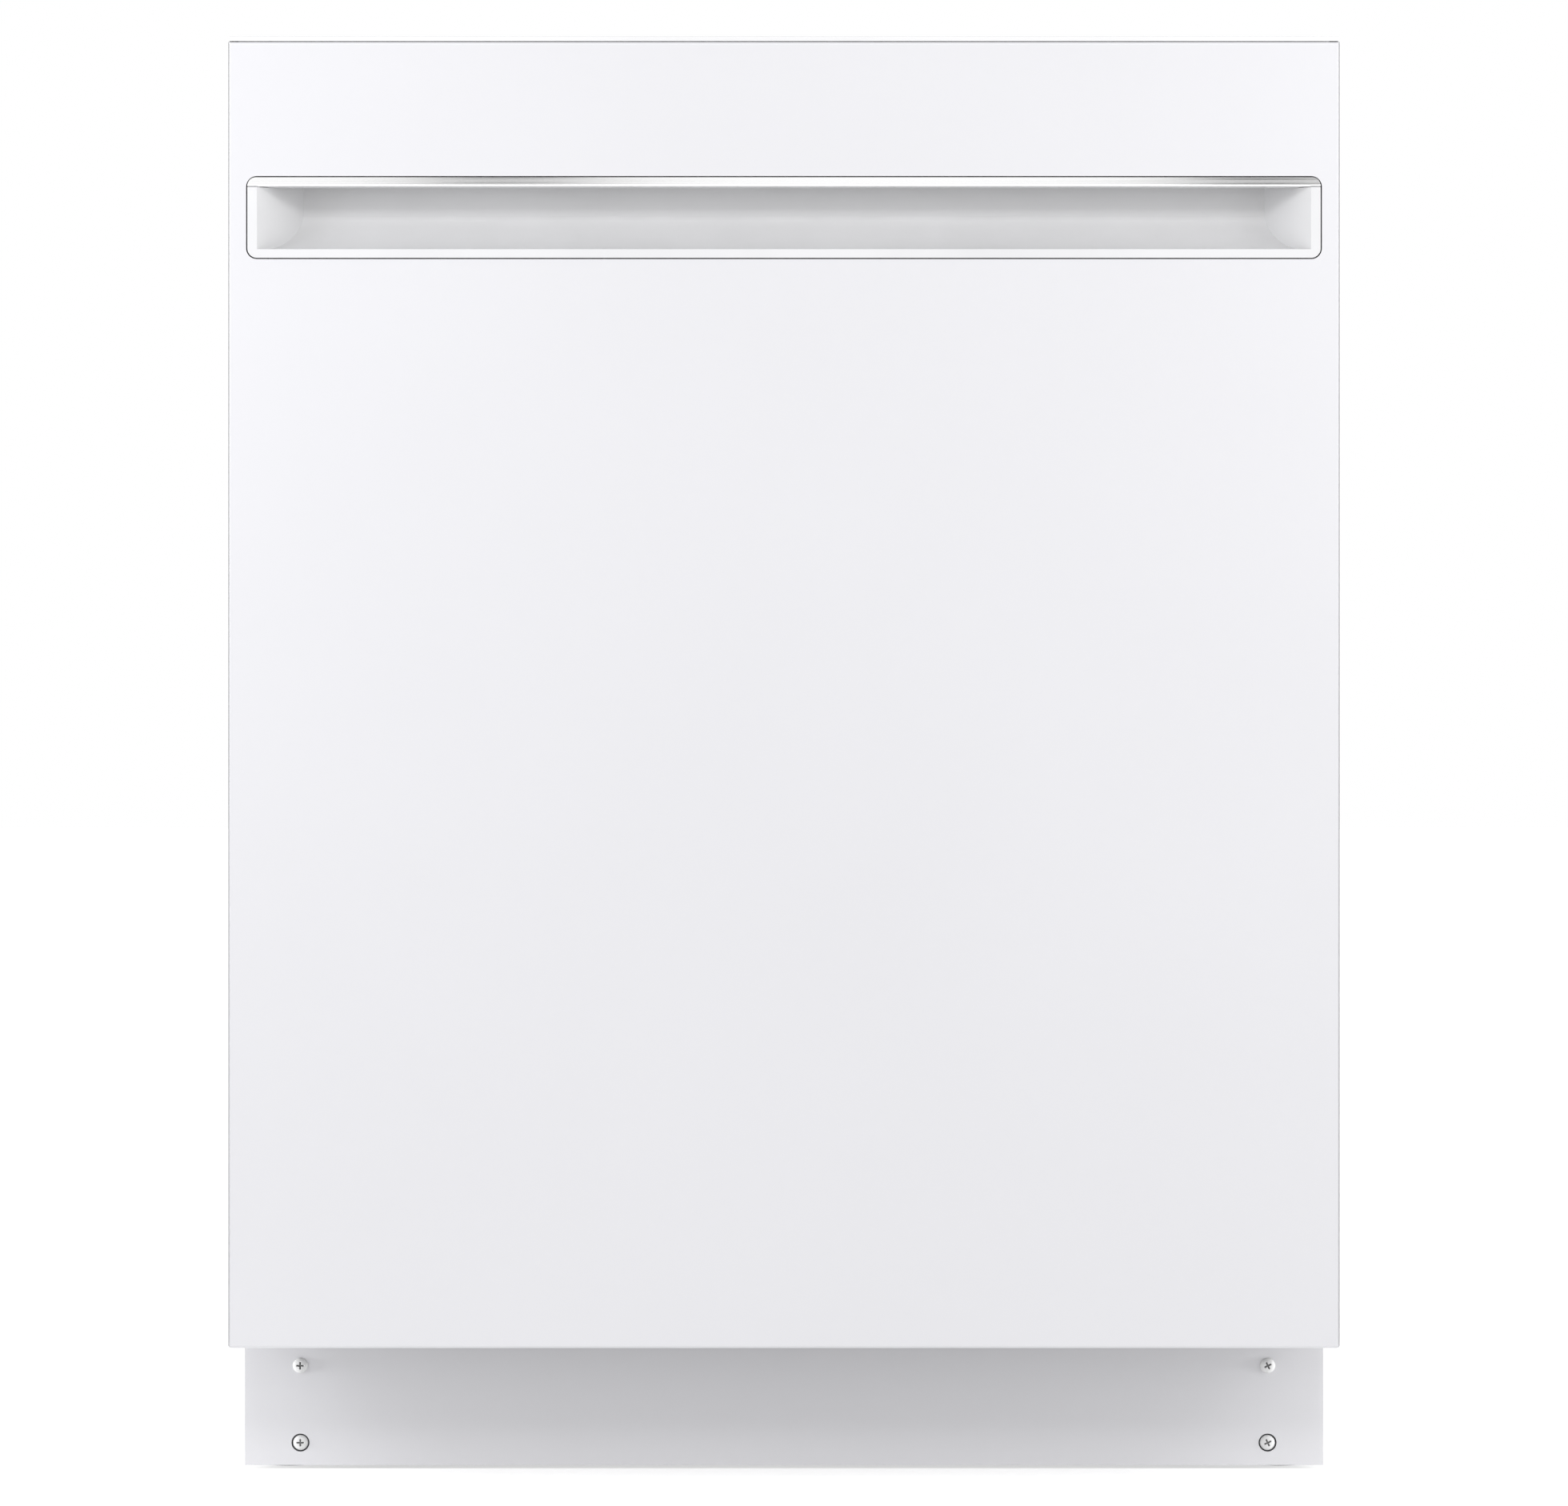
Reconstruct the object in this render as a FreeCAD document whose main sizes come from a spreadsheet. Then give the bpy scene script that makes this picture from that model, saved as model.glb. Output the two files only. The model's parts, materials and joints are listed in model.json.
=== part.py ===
"""Built-in dishwasher, 24 inch class, with a pocket handle, hidden top controls and two sliding racks.

The row frame is in millimetres: +Z up, X across the door, and the door faces -Y. The origin is on the floor,
under the middle of the machine's bounding box. Every sub-part is one labelled object of the document, sized
from the spreadsheet "sizes", and is written to parts/LABEL.step.
"""

import FreeCAD, Part

import math
import os
import re
from types import SimpleNamespace

import Sketcher
from FreeCAD import Placement, Rotation, Vector

SIZES = {
    # outside
    "half_deep": 305.0,  # door face and rear pad are this far from the origin
    "door_wide": 603.2,
    "door_low": 73.6,
    "door_high": 782.4,
    "panel_sheet": 1.0,
    "console_high": 785.4,
    "console_wide": 602.2,
    # door, measured back from its face
    "liner_face": 53.0,
    "liner_wide": 568.0,
    "liner_sheet": 0.8,
    "liner_low": 112.0,
    "liner_high": 782.0,
    "hinge_back": 35.0,
    "hinge_high": 97.0,
    # pocket handle in the door face
    "cup_wide": 582.4,
    "cup_low": 665.1,
    "cup_high": 708.8,
    "cup_round": 5.2,
    "cup_gap": 0.7,
    "lip_low": 703.8,
    "pocket_wide": 572.0,
    "pocket_low": 669.9,
    "pocket_deep": 26.0,
    "pocket_slope": 23.4,
    "pocket_top": 720.0,
    "latch_high": 762.0,
    # tub
    "tub_wide": 544.0,
    "tub_sheet": 0.9,
    "tub_front": -246.0,
    "tub_back": 286.0,
    "tub_floor": 106.0,
    "tub_top": 757.0,
    "tub_round": 26.0,
    "ledge_high": 117.0,
    "ledge_wide": 22.0,
    "spin_y": 20.0,  # both long spray arms turn about the middle of the tub
    "well_radius": 85.0,
    "heater_back": 222.0,
    "heater_foot": 28.0,
    "filter_back": 44.0,  # the filter stands this far in front of the arm's post
    # cabinet
    "cabinet_wide": 597.0,
    "collar_high": 777.0,
    "frame_low": 22.0,
    "frame_high": 104.4,
    "leg_x": 276.0,
    "leg_front": -195.0,
    "leg_rear": 250.0,
    # toe kick
    "toe_wide": 597.6,
    "toe_face": -230.0,
    "toe_low": 2.0,
    "toe_high": 84.0,
    "screw_x": 268.0,
    "screw_high": 57.2,
    "screw_low": 14.4,
    # racks
    "wire": 2.0,
    "rim_wire": 3.0,
    "low_rack_half": 246.5,
    "low_rack_front": -215.0,
    "low_rack_back": 258.0,
    "low_rack_floor": 152.0,
    "low_rack_rim": 292.0,
    "up_rack_half": 238.0,
    "up_rack_front": -212.0,
    "up_rack_back": 250.0,
    "up_rack_floor": 445.0,
    "up_rack_rim": 560.0,
    "wheel_radius": 18.0,
    "wheel_front": -120.0,
    "wheel_rear": 165.0,
    "rail_low": 480.0,
    "rail_high": 512.0,
    "rail_front": -232.0,
    "rail_long": 492.0,
}
s = SimpleNamespace(**SIZES)
X, Y, Z = Vector(1, 0, 0), Vector(0, 1, 0), Vector(0, 0, 1)

doc = FreeCAD.newDocument("Dishwasher")
sheet = doc.addObject("Spreadsheet::Sheet", "sizes")
for row, (alias, value) in enumerate(SIZES.items(), start=1):
    sheet.set(f"A{row}", alias)
    sheet.set(f"B{row}", str(value))
    sheet.setAlias(f"B{row}", alias)
doc.recompute()

subparts = []


def bind(text):
    """A size written with the sheet's aliases, as an expression that FreeCAD evaluates."""
    return re.sub(r"[a-z_]\w*", lambda w: f"sizes.{w[0]}" if w[0] in SIZES else w[0], str(text))


def number(text):
    return float(sheet.evalExpression(bind(text)))


def keep(label, made):
    """Marks an object as a sub-part: its label names the node and its file."""
    made.Label = label
    subparts.append(made)
    return made


# ---------------------------------------------------------------- primitives bound to the sheet


def box(name, x, y, z):
    made = doc.addObject("Part::Box", name)
    for prop, axis, (low, high) in (("Length", "x", x), ("Width", "y", y), ("Height", "z", z)):
        made.setExpression(prop, bind(f"({high}) - ({low})"))
        made.setExpression(f"Placement.Base.{axis}", bind(low))
    return made


ALONG = {"x": Rotation(Y, 90), "y": Rotation(X, -90), "z": Rotation()}


def rod(name, axis, centre, radius, low, high):
    """A cylinder along an axis. centre gives its other two coordinates in X, Y, Z order."""
    made = doc.addObject("Part::Cylinder", name)
    made.Placement = Placement(Vector(), ALONG[axis])
    made.setExpression("Radius", bind(radius))
    made.setExpression("Height", bind(f"({high}) - ({low})"))
    rest = iter(centre)
    for letter in "xyz":
        place = low if letter == axis else next(rest)
        made.setExpression(f"Placement.Base.{letter}", bind(place))
    return made


def fuse(name, *shapes):
    made = doc.addObject("Part::MultiFuse", name)
    made.Shapes = list(shapes)
    made.Refine = True
    return made


def cut(name, base, *tools):
    made = doc.addObject("Part::Cut", name)
    made.Base = base
    made.Tool = tools[0] if len(tools) == 1 else fuse(name + "_tools", *tools)
    made.Refine = True
    return made


def mirror(name, source):
    made = doc.addObject("Part::Mirroring", name)
    made.Source = source
    made.Normal = X
    return made


def group(name, *solids):
    made = doc.addObject("Part::Compound", name)
    made.Links = list(solids)
    return made


def plain(name, shape):
    """A shape made with Part's own functions."""
    made = doc.addObject("Part::Feature", name)
    made.Shape = shape
    return made


def pair(name, solid):
    """The same piece on the right and, mirrored, on the left."""
    return group(name, solid, mirror(name + "_mirrored", solid))


def fillet(name, base, radius, chosen):
    """Rounds the edges that chosen(edge) picks."""
    doc.recompute()
    made = doc.addObject("Part::Fillet", name)
    made.Base = base
    made.Edges = [(n, radius, radius) for n, edge in enumerate(base.Shape.Edges, 1) if chosen(edge)]
    return made


def runs(axis, *where):
    """Picks the straight edges along an axis whose middle passes every test in where."""

    def chosen(edge):
        if len(edge.Vertexes) != 2:
            return False
        step = edge.Vertexes[1].Point - edge.Vertexes[0].Point
        middle = edge.CenterOfMass
        return abs(step.normalize().dot(axis)) > 0.999 and all(test(middle) for test in where)

    return chosen


# ---------------------------------------------------------------- bodies made from sketches

NORMALS = {"XY": 1, "YZ": 1, "XZ": -1}  # the side of the global axis that a sketch on the plane faces


def sketch(body, plane, level, loops):
    """A sketch on one of the body's own planes at a level. A loop is a list of points or a circle (x, y, radius)."""
    made = body.newObject("Sketcher::SketchObject", body.Name + "_sketch")
    origin = next(o for o in body.Origin.OriginFeatures if o.Role == plane + "_Plane")
    made.AttachmentSupport = [(origin, "")]
    made.MapMode = "FlatFace"
    made.setExpression("AttachmentOffset.Base.z", bind(f"{NORMALS[plane]} * ({level})"))

    def hold(kind, geometry, place, text):
        point = (geometry, place) if place is not None else (geometry,)
        origin_point = (-1, 1) if place is not None else ()
        index = made.addConstraint(Sketcher.Constraint(kind, *origin_point, *point, number(text)))
        made.setExpression(f"Constraints[{index}]", bind(text))

    for loop in loops:
        if isinstance(loop, tuple):
            across, up, radius = loop
            centre = Vector(number(across), number(up), 0)
            ring = made.addGeometry(Part.Circle(centre, Z, number(radius)))
            hold("Radius", ring, None, radius)
            hold("DistanceX", ring, 3, across)
            hold("DistanceY", ring, 3, up)
            continue
        points = [Vector(number(a), number(b), 0) for a, b in loop]
        ends = points[1:] + points[:1]
        lines = [made.addGeometry(Part.LineSegment(a, b)) for a, b in zip(points, ends)]
        for line, after in zip(lines, lines[1:] + lines[:1]):
            made.addConstraint(Sketcher.Constraint("Coincident", line, 2, after, 1))
        for line, (a, b) in zip(lines, loop):
            hold("DistanceX", line, 1, a)
            hold("DistanceY", line, 1, b)
    return made


def pad(name, plane, span, *loops):
    """A body padded from a sketch, from span's low end to its high end along the plane's own axis."""
    low, high = span
    body = doc.addObject("PartDesign::Body", name)
    profile = sketch(body, plane, low if NORMALS[plane] > 0 else high, loops)
    feature = body.newObject("PartDesign::Pad", name + "_pad")
    feature.Profile = profile
    feature.setExpression("Length", bind(f"({high}) - ({low})"))
    profile.Visibility = False
    return body


def turned(name, centre, *loops):
    """A body of revolution about a vertical axis. Its loops are (radius, height) outlines."""
    body = doc.addObject("PartDesign::Body", name)
    profile = sketch(body, "XZ", "0", loops)
    feature = body.newObject("PartDesign::Revolution", name + "_turned")
    feature.Profile = profile
    feature.ReferenceAxis = (profile, ["V_Axis"])
    feature.Angle = 360
    body.setExpression("Placement.Base.x", bind(centre[0]))
    body.setExpression("Placement.Base.y", bind(centre[1]))
    return body


def rectangle(x, y):
    return [(x[0], y[0]), (x[1], y[0]), (x[1], y[1]), (x[0], y[1])]


def either(text):
    """The span from minus to plus a size."""
    return (f"-({text})", text)


def from_face(low, high):
    """A span along Y given as distances back from the door's face."""
    return (f"-half_deep + {low}", f"-half_deep + {high}")


# ---------------------------------------------------------------- plain wires, for the racks


def wire(start, end, radius=None):
    step = end - start
    return Part.makeCylinder(radius or s.wire, step.Length, start, step)


def bent_tube(points, bend, radius):
    """A tube along straight runs joined by tangent arcs of the radius bend."""
    edges, start = [], points[0]
    for before, corner, after in zip(points, points[1:], points[2:]):
        back, on = (before - corner).normalize(), (after - corner).normalize()
        half_angle = back.getAngle(on) / 2
        inward = (back + on).normalize()
        first, last = (corner + way * (bend / math.tan(half_angle)) for way in (back, on))
        middle = corner + inward * (bend / math.sin(half_angle) - bend)
        edges += [Part.LineSegment(start, first).toShape(), Part.Arc(first, middle, last).toShape()]
        start = last
    edges.append(Part.LineSegment(start, points[-1]).toShape())
    profile = Part.Wire(Part.makeCircle(radius, points[0], points[1] - points[0]))
    return Part.Wire(edges).makePipeShell([profile], True, True)


def weld(wires):
    """Wires that cross, fused into one panel."""
    return wires[0].multiFuse(wires[1:])


def spread(low, high, count):
    return [low + (high - low) * n / (count - 1) for n in range(count)]


# ================================================================ cabinet and tub


def tub():
    """Stainless tub: a bent wrapper for the sides and top, and a back wall behind it."""
    top = lambda p: p.z > s.tub_top - 1
    outer = box("wrapper_outer", either("tub_wide/2 + tub_sheet"), ("tub_front", "tub_back"),
                ("ledge_high", "tub_top + tub_sheet"))
    outer = fillet("wrapper_outer_round", outer, s.tub_round + s.tub_sheet, runs(Y, top))
    inner = box("wrapper_inner", either("tub_wide/2"), ("tub_front - 1", "tub_back + 1"),
                ("ledge_high - 1", "tub_top"))
    inner = fillet("wrapper_inner_round", inner, s.tub_round, runs(Y, top))
    wrapper = cut("tub_wrapper", outer, inner)
    back = box("tub_back", either("tub_wide/2 + tub_sheet"), ("tub_back + 0.1", "tub_back + 1"),
               ("ledge_high", "tub_top + tub_sheet"))
    back = fillet("tub_back_round", back, s.tub_round + s.tub_sheet, runs(Y, top))
    keep("tub_shell", group("tub_group", wrapper, back))

    # the bottom pan has a ledge down each side for the rack wheels, and a round well over the sump
    outer = box("pan_outer", either("tub_wide/2 + tub_sheet"), ("tub_front", "tub_back + 1"),
                ("tub_floor - 1.5", "ledge_high - 0.2"))
    basin = box("pan_basin", either("tub_wide/2 - ledge_wide"), ("tub_front + 12", "tub_back - 12"),
                ("tub_floor", "ledge_high + 1"))
    basin = fillet("pan_basin_round", basin, 18, runs(Z))
    hollow = box("pan_ledge_hollow", ("tub_wide/2 - ledge_wide + 1.5", "tub_wide/2 - 0.6"),
                 ("tub_front + 1.5", "tub_back - 0.5"), ("tub_floor - 3", "ledge_high - 1.7"))
    other_hollow = mirror("pan_other_hollow", hollow)
    pan = cut("pan_tray", outer, basin, hollow, other_hollow)
    well = rod("pan_well", "z", ("0", "spin_y"), "well_radius + 1.2", "tub_floor - 16", "tub_floor - 0.7")
    bore = rod("pan_well_bore", "z", ("0", "spin_y"), "well_radius", "tub_floor - 14.8", "tub_floor + 1")
    throat = rod("pan_throat", "z", ("0", "spin_y"), "well_radius - 4", "tub_floor - 17", "tub_floor")
    glands = [rod(f"heater_hole_{n}", "z", (x, "heater_back"), "6.1", "tub_floor - 3", "tub_floor + 1")
              for n, x in enumerate(("-heater_foot", "heater_foot"))]
    keep("tub_base_pan", cut("pan_with_well", fuse("pan_fused", pan, well), bore, throat, *glands))


def tub_front():
    """Painted collar round the mouth of the tub, with the door seal on it."""
    outline = [
        ("-cabinet_wide/2", "146"), ("-284", "146"), ("-284", "ledge_high - 13"), ("284", "ledge_high - 13"),
        ("284", "146"), ("cabinet_wide/2", "146"), ("cabinet_wide/2", "collar_high"),
        ("-cabinet_wide/2", "collar_high"),
    ]
    mouth = rectangle(either("tub_wide/2 + tub_sheet + 0.1"), ("ledge_high - 0.1", "tub_top + 1"))
    face = pad("collar_face", "XZ", ("tub_front - 2", "tub_front"), outline, mouth)
    edge = box("collar_edge", ("cabinet_wide/2 - 1.2", "cabinet_wide/2"), ("tub_front - 1", "tub_front + 22"),
               ("146", "collar_high"))
    top = box("collar_top", either("cabinet_wide/2"), ("tub_front - 1", "tub_front + 22"),
              ("collar_high - 1.2", "collar_high"))
    keep("tub_frame", fuse("collar", face, edge, mirror("collar_other_edge", edge), top))

    outer = box("seal_outer", either("283.4"), ("tub_front - 5.4", "tub_front - 2.1"), ("119", "768.4"))
    outer = fillet("seal_outer_round", outer, 16, runs(Y, lambda p: p.z > 700))
    inner = box("seal_inner", either("275"), ("tub_front - 6", "tub_front - 2"), ("118", "761"))
    inner = fillet("seal_inner_round", inner, 9, runs(Y, lambda p: p.z > 700))
    ring = cut("seal_ring", outer, inner)
    keep("tub_gasket", fillet("seal_soft", ring, 1.4, lambda e: e.CenterOfMass.y < s.tub_front - 5.3))


def cabinet():
    """Two channel side frames on the legs, the cross members between them, and the mounting brackets on top."""
    span_y = ("-227.6", "half_deep - 9")
    web = box("frame_web", ("cabinet_wide/2 - 2", "cabinet_wide/2"), span_y, ("frame_low", "frame_high"))
    foot = box("frame_foot", ("255", "cabinet_wide/2"), span_y, ("frame_low", "frame_low + 2"))
    shelf = box("frame_shelf", ("271", "cabinet_wide/2"), ("-215", "half_deep - 9"),
                ("frame_high - 2", "frame_high"))
    tab = box("frame_tab", ("255", "cabinet_wide/2"), ("-227.6", "-226"), ("8", "84"))
    anchor = box("spring_anchor", ("289", "293"), ("-60", "-57"), ("frame_high - 1", "134"))
    nuts = [
        rod(f"leg_nut_{n}", "z", ("leg_x", y), "9", "frame_low + 1", "frame_low + 12")
        for n, y in enumerate(("leg_front", "leg_rear"))
    ]
    whole = fuse("frame_whole", web, foot, shelf, tab, anchor, *nuts)
    holes = [
        rod(f"leg_hole_{n}", "z", ("leg_x", y), "5.2", "frame_low - 1", "frame_low + 13")
        for n, y in enumerate(("leg_front", "leg_rear"))
    ]
    holes += [
        rod(f"tab_hole_{n}", "y", ("screw_x", z), "2.1", "-229", "-225")
        for n, z in enumerate(("screw_high", "screw_low"))
    ]
    holes.append(rod("anchor_hole", "y", ("291", "123"), "2.2", "-62", "-55"))
    side = cut("side_frame", whole, *holes)
    keep("side_frames", pair("side_pair", side))

    front = pad("front_member", "YZ", either("254.8"),
                [("-226", "62"), ("-224", "62"), ("-224", "98"), ("-206", "98"), ("-206", "100"), ("-226", "100")])
    rear = pad("rear_member", "YZ", either("cabinet_wide/2 - 2.2"),
               [("half_deep - 14", "44"), ("half_deep - 12", "44"), ("half_deep - 12", "99"),
                ("half_deep - 40", "99"), ("half_deep - 40", "97"), ("half_deep - 14", "97")])
    notch = box("rear_notch", ("-232", "-168"), ("half_deep - 20", "half_deep"), ("40", "80"))
    keep("crossmembers", group("member_group", front, cut("rear_notched", rear, notch)))

    plate = box("bracket_plate", ("216", "246"), ("tub_front + 2", "tub_front + 44"),
                ("collar_high + 5.5", "collar_high + 7"))
    leg = box("bracket_leg", ("216", "246"), ("tub_front + 2", "tub_front + 3.5"),
              ("collar_high + 0.2", "collar_high + 6"))
    foot = box("bracket_foot", ("216", "246"), ("tub_front + 2", "tub_front + 16"),
               ("collar_high + 0.2", "collar_high + 1.7"))
    holes = [rod(f"bracket_hole_{n}", "z", ("231", y), "2.6", "collar_high + 3", "collar_high + 8")
             for n, y in enumerate(("tub_front + 24", "tub_front + 37"))]
    keep("mounting_brackets", pair("bracket_pair", cut("bracket", fuse("bracket_bent", plate, leg, foot), *holes)))


def sound_blanket():
    """Thick felt wrapped round the sides and top of the tub, and a pad on its back."""
    top = lambda p: p.z > 700
    outer = box("felt_outer", either("cabinet_wide/2 - 1.5"), ("-222", "half_deep - 17"), ("146", "778"))
    outer = fillet("felt_outer_round", outer, 22, runs(Y, top))
    inner = box("felt_inner", either("tub_wide/2 + tub_sheet + 0.3"), ("-223", "half_deep"),
                ("145", "tub_top + tub_sheet + 0.3"))
    inner = fillet("felt_inner_round", inner, s.tub_round, runs(Y, top))
    wrap = cut("felt_wrap", outer, inner)
    back = box("felt_back", either("cabinet_wide/2 - 1.5"), ("half_deep - 16.7", "half_deep"), ("110", "778"))
    back = fillet("felt_back_round", back, 22, runs(Y, top))
    keep("sound_blanket", group("felt_group", wrap, back))


def toe_kick():
    """Kick panel screwed to the side frames, with the lower panel behind it showing through two clearance holes."""
    face = box("kick_face", either("toe_wide/2"), ("toe_face", "toe_face + 1"), ("toe_low", "toe_high"))
    low_fold = box("kick_low_fold", either("toe_wide/2"), ("toe_face", "toe_face + 1.9"),
                   ("toe_low", "toe_low + 1"))
    holes = [rod(f"kick_hole_{n}", "y", (x, z), r, "toe_face - 1", "toe_face + 3")
             for n, (x, z, r) in enumerate([
                 ("screw_x", "screw_high", "2.1"), ("-screw_x", "screw_high", "2.1"),
                 ("screw_x", "screw_low", "5"), ("-screw_x", "screw_low", "5")])]
    keep("toe_kick_panel", cut("kick_panel", fuse("kick_bent", face, low_fold), *holes))

    lower = box("low_kick_face", either("toe_wide/2 - 2"), ("toe_face + 1.2", "toe_face + 2.2"), ("4", "50"))
    holes = [rod(f"low_kick_hole_{n}", "y", (x, "screw_low"), "2.1", "toe_face", "toe_face + 3")
             for n, x in enumerate(("screw_x", "-screw_x"))]
    keep("lower_toe_kick", cut("low_kick_panel", lower, *holes))

    # pan-head screws: the upper pair sits on the kick panel, the lower pair on the panel behind it
    screws = []
    for n, (x, z, seat, tilt) in enumerate([
        (-s.screw_x, s.screw_high, s.toe_face, 0), (s.screw_x, s.screw_high, s.toe_face, 25),
        (-s.screw_x, s.screw_low, s.toe_face + 1.2, 0), (s.screw_x, s.screw_low, s.toe_face + 1.2, 25),
    ]):
        screw = plain(f"kick_screw_{n}", pan_screw(head=4.25, deep=2.2, shank=1.9, long=9))
        screw.Placement = Placement(Vector(x, seat, z), Rotation(Y, tilt).multiply(Rotation(X, 90)))
        screws.append(screw)
    keep("kick_screws", group("kick_screw_group", *screws))


def pan_screw(head, deep, shank, long):
    """A cross-recess screw standing on its seat: the domed head is above z = 0 and the shank below."""
    dome_radius = (head * head + deep * deep) / (2 * deep)
    dome = Part.makeSphere(dome_radius, Vector(0, 0, deep - dome_radius))
    body = dome.common(Part.makeCylinder(head, deep)).fuse(Part.makeCylinder(shank, long, Vector(), -Z))
    for turn in (0, 90):
        slot = Part.makeBox(head * 0.9, head * 0.2, deep, Vector(-head * 0.45, -head * 0.1, deep * 0.45))
        slot.rotate(Vector(), Z, turn)
        body = body.cut(slot)
    return body


# ================================================================ hinges and springs

PIVOT = ("-half_deep + hinge_back", "hinge_high")  # the door's hinge line in Y and Z
LEVER = 25.4  # the spring pin stands this far behind and above the hinge line


def from_pivot(points):
    return [(f"{PIVOT[0]} + {y}", f"{PIVOT[1]} + {z}") for y, z in points]


def hinges():
    """Hinge brackets on the frames, arms in the door, and the springs that balance the door."""
    ear = pad("hinge_ear", "YZ", ("290", "293"),
              from_pivot([(-9, -4), (-4, -9), (25, -9), (44, -11), (80, -11), (80, 3), (44, 3), (9, 4),
                          (5, 8), (-5, 8), (-9, 4)]))
    pin = rod("hinge_pin", "x", PIVOT, "3.95", "285", "290.5")
    spacer = box("hinge_spacer", ("292.5", "cabinet_wide/2 - 2.1"), ("-218", "-192"), ("88", "99"))
    keep("hinge_brackets", pair("hinge_bracket_pair", fuse("hinge_bracket", ear, pin, spacer)))

    outline = from_pivot([(-32, 200), (-12, 200), (-12, 50), (8, 42), (26, 34), (33, 28), (32, 19), (23, 16),
                          (11, 8), (10, -5), (4, -10), (-6, -10), (-13, -4), (-32, 20)])
    arm = pad("hinge_arm", "YZ", ("286", "289"), outline, (*PIVOT, "4"))
    stud = rod("hinge_stud", "x", from_pivot([(LEVER, LEVER)])[0], "2.5", "288.5", "293")
    keep("hinge_arms", pair("hinge_arm_pair", fuse("hinge_arm_stud", arm, stud)))

    # the stud swings through a quarter turn in the link's upright slot, so the link itself only slides
    plate = pad("link_plate", "YZ", ("290", "291.6"),
                from_pivot([(18, 20), (24, 16.5), (52, 19), (56, 23), (56, 29), (52, 33), (33, 43), (18, 43)]),
                from_pivot([(LEVER - 4, 21.5), (LEVER + 4, 21.5), (LEVER + 4, 40), (LEVER - 4, 40)]))
    keep("spring_links", pair("link_pair", plate))

    start, wire_radius, count = -209, 0.9, 74
    turns = plain("spring_turns", spring_body(Vector(291, start, 123), 4.0, wire_radius, count))
    end = start + 2 * wire_radius * count
    hooks = [rod("spring_front_hook", "y", ("291", "123"), wire_radius, -213.8, start + 0.5),
             rod("spring_rear_hook", "y", ("291", "123"), wire_radius, end - 0.5, -60.2)]
    keep("door_springs", pair("spring_pair", fuse("spring", turns, *hooks)))


def spring_body(centre, coil, wire_radius, count):
    """A close-wound extension spring along Y, as a turned body with one rib for each turn."""
    pitch = 2 * wire_radius
    outline = [Part.LineSegment(Vector(0, 0, 0), Vector(coil, 0, 0)).toShape()]
    for n in range(count):
        low = Vector(coil, n * pitch, 0)
        high = Vector(coil, (n + 1) * pitch, 0)
        crest = Vector(coil + wire_radius, (n + 0.5) * pitch, 0)
        outline.append(Part.Arc(low, crest, high).toShape())
    end = Vector(0, count * pitch, 0)
    outline.append(Part.LineSegment(Vector(coil, count * pitch, 0), end).toShape())
    outline.append(Part.LineSegment(end, Vector(0, 0, 0)).toShape())
    body = Part.Face(Part.Wire(outline)).revolve(Vector(), Y, 360)
    body = Part.Solid(body) if body.ShapeType == "Shell" else body
    body.translate(centre)
    return body


# ================================================================ door


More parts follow.
